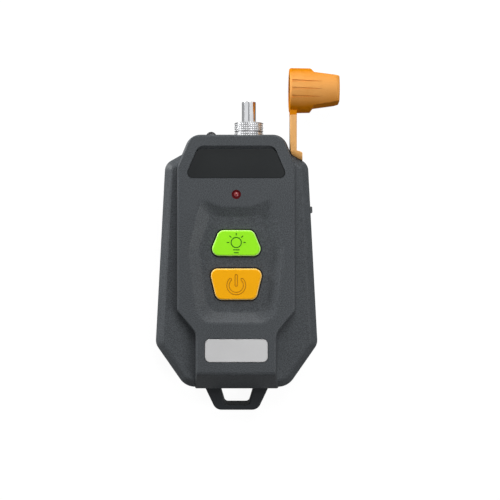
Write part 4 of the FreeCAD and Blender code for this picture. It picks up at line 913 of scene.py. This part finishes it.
def key_gap_shade():
    """Painted shade: a black band down in the gap round each key, where the gap is in shade."""
    shade_bands = []
    for name in ("lamp_button", "power_button"):
        outline = hull([v.co for v in NODES[name].data.vertices if v.co.z > KEY_BODY_Z])
        shade_band = ribbon("key_gap_band", outline, GAP_SHADE_CLEARANCE, GAP_SHADE_CLEARANCE + GAP_SHADE_WIDTH, GAP_SHADE_LOW, GAP_SHADE_TOP, KEY_GAP_BLACK)
        shade_bands.append(shade_band)
    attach(joined("key_gap_shade", *shade_bands), "housing")


knurled_collar()
bending_strap()
lamp_sign()
power_sign_groove_shade()
key_gap_shade()
led_ring()


# ================================================================ the set
def background_ray(g):
    """1 for rays that show the background: to the camera, or by way of gloss or glass."""
    path = g.add("ShaderNodeLightPath").outputs
    seen = g.maths("ADD", path["Is Camera Ray"], path["Is Glossy Ray"])
    return g.maths("ADD", seen, path["Is Transmission Ray"], clamp=True)


def if_mirrored(g, plain, mirrored):
    """The second value for the rays that gloss sends out, and the first for all others."""
    path = g.add("ShaderNodeLightPath").outputs
    return g.mix_value(path["Is Glossy Ray"], plain, mirrored)


def floor_white():
    """White with a faint shadow to the camera, grey to other rays, and clear from below."""
    material = bpy.data.materials.new("floor_white")
    material.use_nodes = True
    tree = material.node_tree
    tree.nodes.remove(tree.nodes["Principled BSDF"])
    g = Graph(tree)
    bounce = g.add("ShaderNodeBsdfDiffuse", {"Color": (FLOOR_BOUNCE, FLOOR_BOUNCE, FLOOR_BOUNCE, 1)})
    shade = g.add("ShaderNodeBsdfDiffuse", {"Color": (FLOOR_SHADE, FLOOR_SHADE, FLOOR_SHADE, 1)})
    bright = if_mirrored(g, FLOOR_GLOW, FLOOR_MIRRORED)
    glow = g.add("ShaderNodeEmission", {"Color": (1, 1, 1, 1), "Strength": bright})
    shown = g.add("ShaderNodeAddShader", {0: shade.outputs[0], 1: glow.outputs[0]})
    inputs = {0: background_ray(g), 1: bounce.outputs[0], 2: shown.outputs[0]}
    lit = g.add("ShaderNodeMixShader", inputs)
    below = g.add("ShaderNodeNewGeometry").outputs["Backfacing"]
    clear = g.add("ShaderNodeBsdfTransparent")
    mixed = g.add("ShaderNodeMixShader", {0: below, 1: lit.outputs[0], 2: clear.outputs[0]})
    g.feed(tree.nodes["Material Output"].inputs["Surface"], mixed.outputs[0])
    return material


def floor():
    """A pale floor just under the object, with a hole that the rear case hides from above.

    The hole lets light onto the back.
    """
    hole = hull([v.co for v in NODES["rear_case"].data.vertices if v.co.z < FLOOR_GAP])
    bm = bmesh.new()
    near, far = [], []
    for corner in hole:
        way = corner.normalized()
        near.append(bm.verts.new((*(corner - way * FLOOR_TUCK), -FLOOR_GAP)))
        far.append(bm.verts.new((*(way * FLOOR_REACH), -FLOOR_GAP)))
    for i in range(len(hole)):
        bm.faces.new((near[i - 1], far[i - 1], far[i], near[i]))
    mesh_object("floor", bm, floor_white(), crease=None)


def world():
    """White to the camera. Gloss mirrors a room that is darker low down and at the tail end."""
    made = bpy.data.worlds.new("studio")
    bpy.context.scene.world = made
    made.use_nodes = True
    g = Graph(made.node_tree)
    way = g.add("ShaderNodeTexCoord").outputs["Generated"]
    height = g.coordinate(way, "Z")
    room = g.spread(height, 0.0, ROOM_RISE, ROOM_LOW, 1.0)
    room = g.mix_value(g.spread(height, *ROOM_PATCH), room, ROOM_OVERHEAD)
    tail = g.spread(g.coordinate(way, "Y"), ROOM_TAIL_Y, 0.0, ROOM_TAIL, 1.0)
    shown = if_mirrored(g, 1.0, g.maths("MULTIPLY", room, tail))
    shade = made.node_tree.nodes["Background"]
    shade.inputs["Color"].default_value = (1, 1, 1, 1)
    g.feed(shade.inputs["Strength"], g.mix_value(background_ray(g), SKY_FILL, shown))


def softbox(name, bearing, rise, size, watts):
    """A lamp that faces the object, at a bearing clockwise from +Y and a rise, in degrees."""
    bearing, rise = math.radians(bearing), math.radians(rise)
    level = math.cos(rise) * LAMPS_AWAY
    place = (level * math.sin(bearing), level * math.cos(bearing), math.sin(rise) * LAMPS_AWAY)
    light = bpy.data.lights.new(name, "AREA")
    light.shape = "RECTANGLE"
    light.size, light.size_y = size
    light.energy = watts
    obj = link_object(bpy.data.objects.new(name, light))
    obj.location = place
    obj.rotation_euler = (AIM - Vector(place)).to_track_quat("-Z", "Y").to_euler()


def camera():
    made = bpy.data.cameras.new("camera")
    made.sensor_width = SENSOR
    made.lens = SENSOR * (CAMERA_UP / VIEW_WIDTH)
    made.clip_start = CAMERA_NEAR
    obj = link_object(bpy.data.objects.new("camera", made))
    obj.location = AIM + Vector((0, 0, CAMERA_UP))
    bpy.context.scene.camera = obj


floor()
world()
softbox("key_light", bearing=10, rise=40, size=(0.30, 0.20), watts=0.6)
softbox("top_light", bearing=10, rise=58, size=(0.20, 0.16), watts=0.7)
softbox("right_high", bearing=112, rise=55, size=(0.16, 0.16), watts=0.7)
softbox("left_low", bearing=302, rise=7, size=(0.20, 0.08), watts=2.3)
softbox("right_low", bearing=32, rise=6, size=(0.30, 0.06), watts=0.35)
softbox("under_light", bearing=200, rise=-55, size=(0.30, 0.30), watts=2.0)
camera()
bpy.context.scene.view_settings.view_transform = "Standard"
